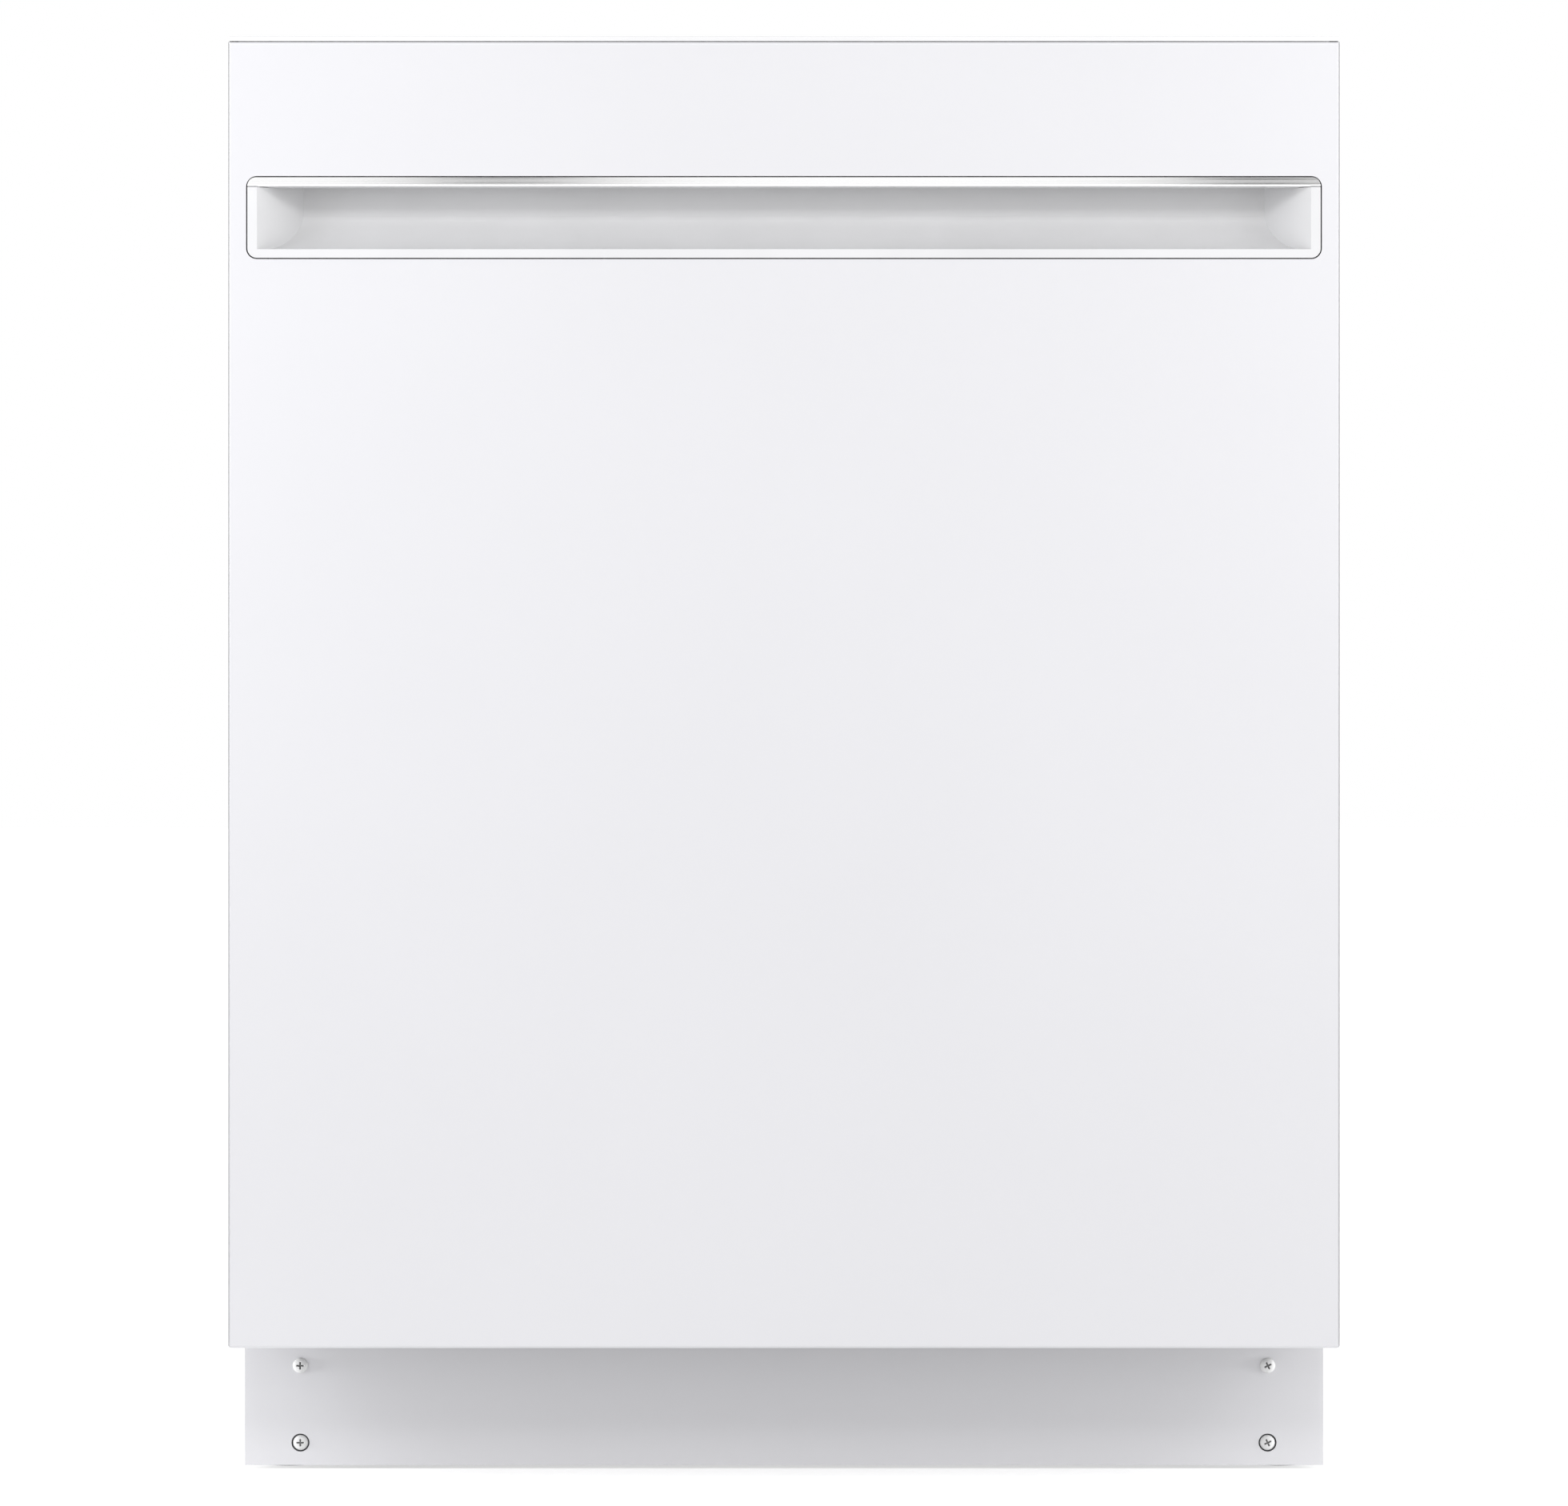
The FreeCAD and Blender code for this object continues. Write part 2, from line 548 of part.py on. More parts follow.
def door_shell():
    """Painted outer panel with folded edges, and the stainless liner that closes it from behind."""
    front = lambda p: p.y < -s.half_deep + 0.1
    outer = box("panel_outer", either("door_wide/2"), from_face(0, 30), ("door_low", "door_high"))
    edges = runs(X, front)
    sides = runs(Z, front)
    corners = runs(Y, lambda p: p.z < s.door_low + 1)
    outer = fillet("panel_round", outer, 1.6, lambda e: edges(e) or sides(e) or corners(e))
    inner = box("panel_inner", either("door_wide/2 - panel_sheet"), ("-half_deep + panel_sheet", "-270"),
                ("door_low + panel_sheet", "door_high + 1"))
    fold = box("panel_fold", either("door_wide/2 - 8"), ("-half_deep + 22", "-270"),
               ("door_low - 1", "door_low + 2"))
    window = box("panel_window", either("cup_wide/2 + cup_gap"), from_face(-1, 3),
                 ("cup_low - cup_gap", "cup_high + cup_gap"))
    window = fillet("panel_window_round", window, s.cup_round + s.cup_gap, runs(Y))
    keep("door_outer_panel", cut("panel", outer, inner, fold, window))

    deep = "liner_face"
    shell = box("liner_outer", either("liner_wide/2"), from_face(29, deep), ("liner_low", "liner_high"))
    shell = fillet("liner_outer_round", shell, 6, runs(Z, lambda p: p.y > -260))
    inside = box("liner_inner", either("liner_wide/2 - liner_sheet"), from_face(28, f"{deep} - liner_sheet"),
                 ("liner_low + liner_sheet", "liner_high - liner_sheet"))
    inside = fillet("liner_inner_round", inside, 5.2, runs(Z, lambda p: p.y > -260))
    dish = box("liner_dish", either("252"), from_face(f"{deep} - 5", f"{deep} + 1"), ("128", "735"))
    dish = fillet("liner_dish_round", dish, 30, runs(Y))
    dish_back = box("liner_dish_back", either("252.8"), from_face(f"{deep} - 5.8", deep), ("127.2", "735.8"))
    dish_back = fillet("liner_dish_back_round", dish_back, 30.8, runs(Y))
    wing = box("liner_wing", ("liner_wide/2 - 1", "door_wide/2 - panel_sheet - 0.4"), from_face(28.2, 29.2),
               ("150", "liner_high"))
    hole = box("liner_port", ("-41", "121"), from_face(40, 60), ("334", "456"))
    vent = rod("liner_vent_hole", "y", ("-150", "395"), "35", "-265", "-245")
    latch = box("liner_latch_hole", either("15"), from_face(40, 60), ("763", "779"))
    skin = fuse("liner_skin", cut("liner_tray", shell, inside), dish_back, wing, mirror("liner_other_wing", wing))
    keep("door_inner_liner", cut("liner", skin, dish, hole, vent, latch))

    screws = []
    for x in (-292, 292):
        for z in (175, 360, 545, 730):
            screw = plain("door_screw", pan_screw(head=3.6, deep=1.8, shank=1.6, long=0.9))
            seat = Vector(x, -s.half_deep + 29.3, z)
            screw.Placement = Placement(seat, Rotation(X, -90))
            screws.append(screw)
    keep("door_screws", group("door_screw_group", *screws))


def handle():
    """Moulded pocket under a bright lip. The pocket's floor curves forward and its ends slope in."""
    front = -s.half_deep
    back = front + s.pocket_deep
    curve_top = Vector(0, back, s.pocket_low + 20)
    curve_foot = Vector(0, front - 1, s.pocket_low)
    sweep = Part.Arc(curve_foot, Vector(0, front + 17.5, s.pocket_low + 5.5), curve_top).toShape()
    corners = [curve_top, Vector(0, back, s.pocket_top), Vector(0, front + 7, s.pocket_top),
               Vector(0, front + 7, s.lip_low - 0.2), Vector(0, front - 1, s.lip_low - 0.2), curve_foot]
    edges = [sweep] + [Part.LineSegment(a, b).toShape() for a, b in zip(corners, corners[1:])]
    section = Part.Face(Part.Wire(edges))
    section.translate(Vector(-s.pocket_wide / 2, 0, 0))
    run = section.extrude(Vector(s.pocket_wide, 0, 0))

    def ring(y, half):
        low, high = s.pocket_low - 1, s.pocket_top + 1
        points = [Vector(x, y, z) for x, z in ((-half, low), (half, low), (half, high), (-half, high))]
        return Part.makePolygon(points + points[:1])

    slope = s.pocket_slope / s.pocket_deep
    ends = [ring(front - 1, s.pocket_wide / 2 + slope), ring(back + 1, s.pocket_wide / 2 - s.pocket_slope - slope)]
    space = plain("pocket_space", run.common(Part.makeLoft(ends, True, True)))

    rim = box("cup_rim", either("cup_wide/2"), from_face(0, 2.4), ("cup_low", "lip_low - 0.2"))
    rim = fillet("cup_rim_round", rim, s.cup_round, runs(Y, lambda p: p.z < s.cup_low + 1))
    hood = box("cup_hood", either("pocket_wide/2 + 2"), from_face(2, "pocket_deep + 1.8"),
               ("pocket_low - 1.8", "pocket_top + 1.8"))
    space_for_lip = box("cup_lip_space", either("cup_wide/2 + 1"), from_face(-1, 6.9),
                        ("lip_low - 0.2", "pocket_top + 4"))
    keep("handle_cup", cut("cup", fuse("cup_moulding", rim, hood), space_for_lip, space))

    bar = box("lip_bar", either("cup_wide/2"), from_face(0, 6.6), ("lip_low", "cup_high"))
    bar = fillet("lip_corners", bar, 4.6, runs(Y, lambda p: p.z > s.cup_high - 1))
    low_front = runs(X, lambda p: p.z < s.lip_low + 1 and p.y < front + 1)
    keep("handle_trim", fillet("lip", bar, 1.2, low_front))


BUTTONS = {"cycle_button": -200.0, "dry_button": -140.0, "delay_button": -80.0, "start_button": 200.0}
BUTTON_LONG = {"start_button": 44.0}


def console():
    """Control strip along the top edge of the door, with its buttons, window and circuit board."""
    cap = box("cap", either("console_wide/2"), from_face(0.5, 51), ("door_high + 0.4", "console_high"))
    round_edges = runs(X, lambda p: p.z > s.console_high - 0.1)
    cap = fillet("cap_round", cap, 0.8, round_edges)
    rib = box("cap_rib", either("296"), from_face(2, 27.5), ("752", "door_high + 0.6"))
    space = box("cap_space", either("294"), from_face(4, 25.5), ("751", "door_high - 0.6"))
    holes = []
    for name, x in BUTTONS.items():
        half = BUTTON_LONG.get(name, 30.0) / 2
        holes.append(box(f"{name}_hole", (x - half, x + half), from_face(9, 21), ("780", "790")))
        key = box(f"{name}_key", (x - half + 0.4, x + half - 0.4), from_face(9.4, 20.6),
                  ("773.4", "console_high - 0.2"))
        keep(name, fillet(f"{name}_top", key, 0.8, lambda e: e.CenterOfMass.z > s.console_high - 0.3))
    posts = [rod(f"board_post_{n}", "z", (x, "-half_deep + 7"), "1.8", "769.7", "782.9")
             for n, x in enumerate((-232, -44, 44, 232))]
    window = box("window_hole", ("-42", "162"), from_face(10, 20), ("780", "790"))
    notch = box("latch_notch", either("31"), from_face(1.5, 52), ("745", "door_high - 1"))
    shell = cut("console_shell", fuse("console_moulding", cap, rib), space, window, notch, *holes)
    keep("control_console", fuse("console", shell, *posts))
    lens = box("lens", ("-41.8", "161.8"), from_face(10.2, 19.8), ("782", "console_high - 0.2"))
    keep("indicator_lens", lens)

    board = box("board", ("-240", "-34"), from_face(6, 24), ("768", "769.6"))
    other = box("board_other_end", ("34", "240"), from_face(6, 24), ("768", "769.6"))
    chips = [box(f"board_switch_{n}", (x - 4, x + 4), from_face(11, 19), ("769.5", "771.6"))
             for n, x in enumerate(BUTTONS.values())]
    relay = box("board_relay", ("70", "96"), from_face(8, 22), ("757", "768.1"))
    keep("control_board", group("board_group", fuse("board_left", board, *chips[:3]),
                                fuse("board_right", other, chips[3], relay)))


def latch():
    """Strike tongue on the tub's collar, and the spring pawl that grips it from inside the door."""
    tongue = box("strike_tongue", either("8"), ("-277", "tub_front - 2.1"), ("771", "774"))
    plate = box("strike_plate", either("16"), ("tub_front - 3.6", "tub_front - 2.1"), ("768.8", "776.4"))
    dent = rod("strike_dent", "x", ("-269", "769.6"), "2.6", "-9", "9")
    keep("door_strike", cut("strike", fuse("strike_bent", tongue, plate), dent))
    case = box("latch_case", either("28"), from_face(5, 51.5), ("754", "780.4"))
    slot = box("latch_slot", either("12"), from_face(18, 60), ("766.6", "778"))
    sill = box("latch_sill", either("12"), from_face(18, 43.5), ("757", "767"))
    pins = rod("latch_pin", "x", ("-half_deep + 23", "latch_high"), "1.5", "-13", "13")
    keep("latch_housing", fuse("latch_with_pin", cut("latch_cased", case, slot, sill), pins))
    pawl = pad("pawl_plate", "YZ", either("6"),
               [("-285.5", "759"), ("-279", "759"), ("-264", "763"), ("-265", "767"), ("-268.2", "769.5"),
                ("-269.8", "769.5"), ("-273", "766.5"), ("-285.5", "765.2")],
               ("-half_deep + 23", "latch_high", "1.56"))
    keep("latch_pawl", pawl)


def dispenser():
    """Detergent cup with a sliding lid and a rinse-aid cap, and the round vent beside them."""
    bezel = box("dispenser_bezel", ("-46", "126"), from_face("liner_face - 4.9", "liner_face + 1"), ("329", "461"))
    bezel = fillet("dispenser_bezel_round", bezel, 9, runs(Y))
    body = box("dispenser_case", ("-40", "120"), from_face(22, "liner_face - 4"), ("335", "455"))
    cup = box("dispenser_cup", ("-30", "36"), from_face(27, "liner_face + 3"), ("362", "428"))
    cup = fillet("dispenser_cup_round", cup, 8, runs(Y))
    track = box("dispenser_track", ("-37", "112"), from_face("liner_face - 2.2", "liner_face + 3"), ("355", "435"))
    seat = rod("dispenser_seat", "y", ("88", "395"), "19", "-half_deep + 44", "-half_deep + liner_face + 3")
    bore = rod("dispenser_bore", "y", ("88", "395"), "12", "-half_deep + 27", "-half_deep + 45")
    whole = fuse("dispenser_whole", bezel, body)
    keep("dispenser_body", cut("dispenser", whole, cup, track, seat, bore))

    lid = box("lid_plate", ("-36.6", "42"), from_face("liner_face - 1.9", "liner_face + 0.6"), ("355.4", "434.6"))
    lid = fillet("lid_round", lid, 5, runs(Y))
    grip = box("lid_grip", ("30", "34"), from_face("liner_face", "liner_face + 2.4"), ("375", "415"))
    keep("dispenser_lid", fuse("lid", lid, grip))
    cap = rod("cap_disc", "y", ("88", "395"), "16.5", "-half_deep + 44.6", "-half_deep + liner_face - 2.6")
    neck = rod("cap_neck", "y", ("88", "395"), "11.6", "-half_deep + 36", "-half_deep + 45")
    ridge = box("cap_ridge", ("76", "100"), from_face("liner_face - 3", "liner_face - 2.2"), ("392.6", "397.4"))
    keep("rinse_cap", fuse("rinse_cap_whole", cap, neck, ridge))

    rim = rod("vent_rim", "y", ("-150", "395"), "40", "-half_deep + liner_face - 4.9", "-half_deep + liner_face - 1")
    throat = rod("vent_throat", "y", ("-150", "395"), "34", "-half_deep + 36", "-half_deep + liner_face - 4")
    bore = rod("vent_bore", "y", ("-150", "395"), "31", "-half_deep + 37.5", "-half_deep + liner_face - 3")
    slots = [box(f"vent_slot_{n}", (-150 - half, -150 + half), from_face("liner_face - 6", "liner_face"), (z, z + 3))
             for n, (z, half) in enumerate((387 - 1.5 + 8 * k, 27 - abs(k - 1) * 2) for k in range(-2, 5))]
    keep("vent_grille", cut("vent", fuse("vent_whole", rim, throat), bore, *slots))


# ================================================================ wash system


def sump():
    """Moulded sump under the well, the pumps on it, the plate and filter in it, and the heating element."""
    outline = [("40", "38"), ("78", "58"), ("78", "tub_floor - 18"), ("84", "tub_floor - 18"),
               ("84", "tub_floor - 16.2"), ("74", "tub_floor - 16.2"), ("74", "60"), ("38", "41"), ("0", "41"),
               ("0", "38")]
    bowl = turned("sump_bowl", ("0", "spin_y"), outline)
    keep("sump", bowl)

    motor = rod("pump_motor", "x", ("spin_y", "55"), "28", "96", "178")
    volute = rod("pump_volute", "x", ("spin_y", "55"), "31.5", "78.2", "96")
    cap = rod("pump_cap", "x", ("spin_y", "55"), "20", "178", "186")
    whole = fuse("pump_whole", volute, motor, cap)
    ends = lambda e: abs(e.CenterOfMass.x - 178) < 0.1 and len(e.Vertexes) == 1 and e.Curve.Radius > 25
    keep("circulation_pump", fillet("pump_soft", whole, 5, ends))

    motor = rod("drain_motor", "x", ("spin_y", "62"), "19", "-142", "-96")
    volute = rod("drain_volute", "x", ("spin_y", "62"), "26", "-96", "-78.2")
    route = [Vector(-87, s.spin_y, 56), Vector(-87, 90, 56), Vector(-200, 90, 56), Vector(-200, 262, 56)]
    pipe = plain("drain_pipe", bent_tube(route, bend=30, radius=7.5))
    outlet = rod("drain_outlet", "y", ("-200", "56"), "9.5", "half_deep - 48", "half_deep - 2")
    barbs = [rod(f"drain_barb_{n}", "y", ("-200", "56"), "10.4", f"half_deep - {y}", f"half_deep - {y} + 3")
             for n, y in enumerate((34, 40))]
    keep("drain_pump", fuse("drain_whole", motor, volute, pipe, outlet, *barbs))

    plate = rod("plate_disc", "z", ("0", "spin_y"), "well_radius - 0.5", "tub_floor - 14.6", "tub_floor - 12.8")
    post = rod("arm_post", "z", ("0", "spin_y"), "9", "tub_floor - 13", "tub_floor + 13")
    holes = [rod("filter_hole", "z", ("0", "spin_y - filter_back"), "26.6", "tub_floor - 15", "tub_floor - 12")]
    for n in range(44):
        ring, step = divmod(n, 22)
        angle = math.radians(360 * step / 22 + 8 * ring)
        radius = 62 + 12 * ring
        x, y = radius * math.cos(angle), radius * math.sin(angle)
        if math.hypot(x, y + s.filter_back) > 33:
            holes.append(rod(f"plate_hole_{n}", "z", (x, f"spin_y + {y}"), "2.4", "tub_floor - 15", "tub_floor - 12"))
    keep("filter_plate", cut("plate", fuse("plate_whole", plate, post), *holes))

    mesh = turned("filter_mesh", ("0", "spin_y - filter_back"),
                  [("23", "63"), ("26", "63"), ("26", "tub_floor - 12.4"), ("28.6", "tub_floor - 12.4"),
                   ("28.6", "tub_floor - 3"), ("20", "tub_floor - 3"), ("20", "tub_floor - 6"),
                   ("23", "tub_floor - 8")])
    wing = box("filter_wing", either("21"), ("spin_y - filter_back - 2", "spin_y - filter_back + 2"),
               ("tub_floor - 8", "tub_floor + 2"))
    keep("filter_cartridge", fuse("filter", mesh, wing))


def heater():
    """Tubular element bent round the tub floor, with its two ends down through the floor at the back."""
    half, front, level = 205.0, -178.0, s.tub_floor + 8.5
    ends = [Vector(side * (s.heater_foot - 2), s.heater_back, level) for side in (-1, 1)]
    corners = [Vector(-half, s.heater_back, level), Vector(-half, front, level), Vector(half, front, level),
               Vector(half, s.heater_back, level)]
    tube = bent_tube([ends[0], *corners, ends[1]], bend=60, radius=3.5)
    feet = [Part.makeCylinder(6, 24, end + Vector(side * 2, 0, 4), -Z) for side, end in zip((-1, 1), ends)]
    keep("heating_element", plain("heater", tube.fuse(feet).removeSplitter()))


def spray_arm(name, centre_y, low, thick, half_long, half_wide, hub, hub_low, hub_high, bore):
    """A long flat arm with tapered blades, a round hub and a row of jets along each blade."""
    mid, tip = half_long * 0.45, half_wide * 0.55
    outline = [(-half_long, -tip * 0.6), (-half_long + 14, -tip), (-mid, -half_wide * 0.85), (0, -half_wide),
               (mid, -half_wide * 0.85), (half_long - 14, -tip), (half_long, -tip * 0.6), (half_long, tip * 0.6),
               (half_long - 14, tip), (mid, half_wide * 0.85), (0, half_wide), (-mid, half_wide * 0.85),
               (-half_long + 14, tip), (-half_long, tip * 0.6)]
    blade = pad(name + "_blade", "XY", (low, low + thick), outline)
    blade = fillet(name + "_soft", blade, thick * 0.3, lambda e: e.CenterOfMass.z > low + thick - 0.1)
    boss = rod(name + "_boss", "z", ("0", "0"), hub, hub_low, hub_high)
    jets = [rod(f"{name}_jet_{n}", "z", (side * (40 + 30 * n) * half_long / 240, side * (n % 3 - 1) * 5), "1.8",
                low + thick - 2, low + thick + 1)
            for side in (1, -1) for n in range(6)]
    hole = rod(name + "_hole", "z", ("0", "0"), bore, hub_low - 1, min(hub_high, low + thick) - 3)
    arm = cut(name + "_arm", fuse(name + "_body", blade, boss), hole, *jets)
    arm.setExpression("Placement.Base.y", bind(centre_y))
    return arm


def spray_system():
    """Three rotating arms, the duct that feeds the upper two, and the tube under the upper rack."""
    floor = s.tub_floor
    keep("lower_spray_arm", spray_arm("low", "spin_y", floor + 16, 11, 236, 24, 17, floor + 3, floor + 33, "9.08"))
    keep("middle_spray_arm", spray_arm("mid", "spin_y", 408, 10, 222, 21, 14, 404, 420, "0.5"))
    keep("top_spray_arm", spray_arm("top", "spin_y", 724, 8, 96, 14, 13, 720, 734, "0.5"))

    riser = box("duct_riser", either("26"), ("tub_back - 17", "tub_back - 0.2"), ("ledge_high", "tub_top - 6"))
    riser = fillet("duct_riser_round", riser, 6, runs(Z, lambda p: p.y < 275))
    roof = box("duct_roof", either("17"), ("spin_y - 16", "tub_back - 3"), ("738", "tub_top - 0.4"))
    roof = fillet("duct_roof_round", roof, 5, runs(Y, lambda p: p.z < 740))
    spout = rod("duct_spout", "z", ("0", "spin_y"), "11", "734.3", "740")
    port = rod("duct_port", "y", ("0", "431.5"), "15", "tub_back - 24", "tub_back - 10")
    keep("water_conduit", fuse("duct", riser, roof, spout, port))

    tube = rod("feed_pipe", "y", ("0", "431.5"), "9", "spin_y", "tub_back - 25.4")
    drop = rod("feed_drop", "z", ("0", "spin_y"), "12", "420.3", "441.7")
    flare = rod("feed_flare", "y", ("0", "431.5"), "11", "tub_back - 34", "tub_back - 25")
    keep("feed_tube", fuse("feed", tube, drop, flare))

    dome = turned("float_dome", ("-226", "-204"),
                  [("0", "tub_floor + 0.5"), ("17", "tub_floor + 0.5"), ("17", "tub_floor + 9"),
                   ("12", "tub_floor + 13"), ("0", "tub_floor + 14")])
    keep("overfill_float", dome)


def services():
    """Water inlet valve with its male thread, and the junction box with its cable hole."""
    body = box("valve_body", ("-236", "-196"), ("-182", "-140"), ("48", "80"))
    solenoid = box("valve_coil", ("-232", "-200"), ("-140.5", "-112"), ("50", "78"))
    thread = rod("valve_thread", "z", ("-216", "-161"), "13.2", "28", "48.5")
    flange = rod("valve_flange", "z", ("-216", "-161"), "16", "45", "48.5")
    bore = rod("valve_bore", "z", ("-216", "-161"), "8", "27", "44")
    pipe = rod("valve_pipe", "y", ("-216", "64"), "6", "-113", "-60")
    bracket = box("valve_bracket", ("-228", "-204"), ("-205.8", "-181"), ("74", "76"))
    keep("inlet_valve", cut("valve", fuse("valve_whole", body, solenoid, thread, flange, pipe, bracket), bore))

    case = box("junction_case", ("160", "244"), ("-205.8", "-120"), ("40", "94"))
    space = box("junction_space", ("161.2", "242.8"), ("-204.6", "-121.2"), ("41.2", "92.8"))
    entry = rod("junction_entry", "z", ("202", "-158"), "11.1", "39", "42")
    keep("junction_box", cut("junction", case, space, entry))


# ================================================================ racks and rails


def basket(half, front, back, floor, rim, columns, rows):
    """The five welded panels of a wire basket, and the places of its floor wires across and along."""
    thin, bar = s.wire, s.rim_wire
    xs, ys = spread(-half + 14, half - 14, columns), spread(front + 12, back - 12, rows)
    inside = half - thin - 0.3
    upper = floor + 1.5 * thin
    across = [wire(Vector(-inside, y, floor), Vector(inside, y, floor)) for y in ys]
    along = [wire(Vector(x, front + thin + 0.4, upper), Vector(x, back - thin - 0.4, upper)) for x in xs]
    panels = [weld(across + along)]
    levels = ((rim, bar), ((floor + rim) / 2, thin))
    for side in (-1, 1):
        posts = [wire(Vector(side * half, y, floor - thin), Vector(side * half, y, rim)) for y in ys]
        rails = [wire(Vector(side * (half - 1), front + 4, z), Vector(side * (half - 1), back - 4, z), r)
                 for z, r in levels]
        panels.append(weld(rails + posts))
    for y, push in ((front, 1), (back, -1)):
        posts = [wire(Vector(x, y, floor - thin), Vector(x, y, rim)) for x in xs]
        rails = [wire(Vector(-half + 5, y + push, z), Vector(half - 5, y + push, z), r) for z, r in levels]
        panels.append(weld(rails + posts))
    return panels, xs, ys


def on_floor(floor):
    """The height of the top of a basket's floor wires."""
    return floor + 2.5 * s.wire + 0.1


def tines(xs, ys, foot, tall):
    return [wire(Vector(x, y, foot), Vector(x, y, foot + tall)) for x in xs for y in ys]


def lower_rack():
    """Lower basket on four wheels, with fixed and folding tines and the silverware basket."""
    panels, xs, ys = basket(s.low_rack_half, s.low_rack_front, s.low_rack_back, s.low_rack_floor,
                            s.low_rack_rim, 11, 14)
    foot = on_floor(s.low_rack_floor)
    solids = panels + tines((xs[1], xs[3]), ys[1:-1], foot, 72)
    wheel_z = s.ledge_high + s.wheel_radius
    for side in (-1, 1):
        for y in (s.wheel_front, s.wheel_rear):
            plate = Part.makeBox(5.4, 24, 62, Vector(249.6 if side > 0 else -255, y - 12, wheel_z - 10))
            axle = wire(Vector(side * 254, y, wheel_z), Vector(side * 267.5, y, wheel_z), 4)
            solids.append(plate.fuse(axle))

    # the folding row turns on its own rod, in a clip at each end
    pivot, turning = foot + 2.6, 2.4
    rod_ends = (ys[1] - 14, ys[-2] + 14)
    for y in (rod_ends[0] + 5, rod_ends[1] - 5):
        clip = Part.makeBox(13, 6, 8, Vector(xs[5] - 6.5, y - 3, foot))
        bore = wire(Vector(xs[5], y - 4, pivot), Vector(xs[5], y + 4, pivot), turning + 0.06)
        solids.append(clip.cut(bore))
    keep("lower_rack_basket", plain("lower_rack", Part.makeCompound(solids)))
    row = [wire(Vector(xs[5], rod_ends[0], pivot), Vector(xs[5], rod_ends[1], pivot), turning)]
    row += tines((xs[5],), ys[1:-1], pivot + turning, 68)
    keep("fold_tines", plain("folding_row", Part.makeCompound(row)))

    for name, y in (("front_wheels", s.wheel_front), ("rear_wheels", s.wheel_rear)):
        keep(name, plain(name, Part.makeCompound([wheel(side, y, wheel_z) for side in (-1, 1)])))

    low, high = foot + 0.1, foot + 112
    outer = box("silver_outer", ("150", "232"), ("-176", "96"), (low, high))
    outer = fillet("silver_round", outer, 8, runs(Z))
    cells = [box(f"silver_cell_{n}", ("152.5", "229.5"), (start, start + 87.5), (low + 2.5, high + 1))
             for n, start in enumerate((-173.5, -83.75, 6))]
    slots = [box(f"silver_slot_{n}", ("148", "234"), (y, y + 5), (low + 12, high - 30))
             for n, y in enumerate(spread(-166, 82, 16))]
    keep("silverware_basket", cut("silver", outer, *cells, *slots))


def wheel(side, y, z):
    """A rack wheel on its axle, with a dished outer face round its hub."""

    def disc(start, end, radius):
        return wire(Vector(side * start, y, z), Vector(side * end, y, z), radius)

    dish = disc(264, 267, s.wheel_radius - 4).cut(disc(263, 268, 7))
    return disc(257, 266, s.wheel_radius).cut(disc(256, 267, 4.06)).cut(dish)


def upper_rack():
    """Upper basket with its cup tines, hung from two glides that run in telescopic rails."""
    panels, xs, ys = basket(s.up_rack_half, s.up_rack_front, s.up_rack_back, s.up_rack_floor,
                            s.up_rack_rim, 11, 13)
    solids = panels + tines(xs[2:9:2], ys[2:-1:2], on_floor(s.up_rack_floor), 46)
    low, high = s.rail_low + 2.7, s.rail_high - 2.7
    for side in (-1, 1):
        glide = Part.makeBox(11.5, s.rail_long - 16, high - low, Vector(0, s.rail_front + 8, low))
        arms = [Part.makeBox(16, 30, 14, Vector(-15.9, y, (low + high) / 2 - 7)) for y in (-150, 160)]
        hanger = glide.fuse(arms)
        hanger.translate(Vector(256, 0, 0))
        solids.append(hanger if side > 0 else hanger.mirror(Vector(), X))
    keep("upper_rack_basket", plain("upper_rack", Part.makeCompound(solids)))

    def channel(name, outside, inside, low, high, thick, start, long):
        """An open channel whose web is at outside and whose mouth faces the rack."""
        return pad(name, "XZ", (start, start + long), [
            (inside, low), (outside, low), (outside, high), (inside, high), (inside, high - thick),
            (outside - thick, high - thick), (outside - thick, low + thick), (inside, low + thick)])

    outer = channel("rail_outer", 271.7, 261.5, s.rail_low - 1, s.rail_high + 1, 1.2, s.rail_front, s.rail_long)
    keep("rail_channels", pair("rail_pair", outer))
    inner = channel("rail_inner", 269.9, 261.8, s.rail_low + 0.7, s.rail_high - 0.7, 1.5,
                    s.rail_front + 4, s.rail_long - 8)
    keep("rail_sliders", pair("slider_pair", inner))


# ================================================================ feet


def feet():
    """Four levelling legs, screwed right in. Each has thread for 34 mm of travel."""
    outline = [("0", "0.6"), ("16", "0.6"), ("16", "0"), ("19", "0"), ("19", "5"), ("12", "9"), ("12", "15"),
               ("5", "15"), ("5", "72"), ("0", "72")]
    for label, x, y in (("front_left_leg", "-leg_x", "leg_front"), ("front_right_leg", "leg_x", "leg_front"),
                        ("rear_left_leg", "-leg_x", "leg_rear"), ("rear_right_leg", "leg_x", "leg_rear")):
        keep(label, turned(label, (x, y), outline))


def main():
    for build in (tub, tub_front, cabinet, sound_blanket, toe_kick, hinges, door_shell, handle, console, latch,
                  dispenser, sump, heater, spray_system, services, lower_rack, upper_rack, feet):
        build()
    doc.recompute()
    failed = [o.Label for o in doc.Objects if "Invalid" in o.State or "Error" in o.State]
    wrong = [o.Label for o in subparts if o.Shape.isNull() or not o.Shape.isValid() or not o.Shape.Solids]
    if failed or wrong:
        raise RuntimeError(f"failed objects: {failed}; sub-parts with a bad shape: {wrong}")
    os.makedirs("parts", exist_ok=True)
    for made in subparts:
        made.Shape.exportStep(os.path.join("parts", made.Label + ".step"))
    print(f"{len(subparts)} sub-parts, {sum(len(o.Shape.Solids) for o in subparts)} solids")


main()
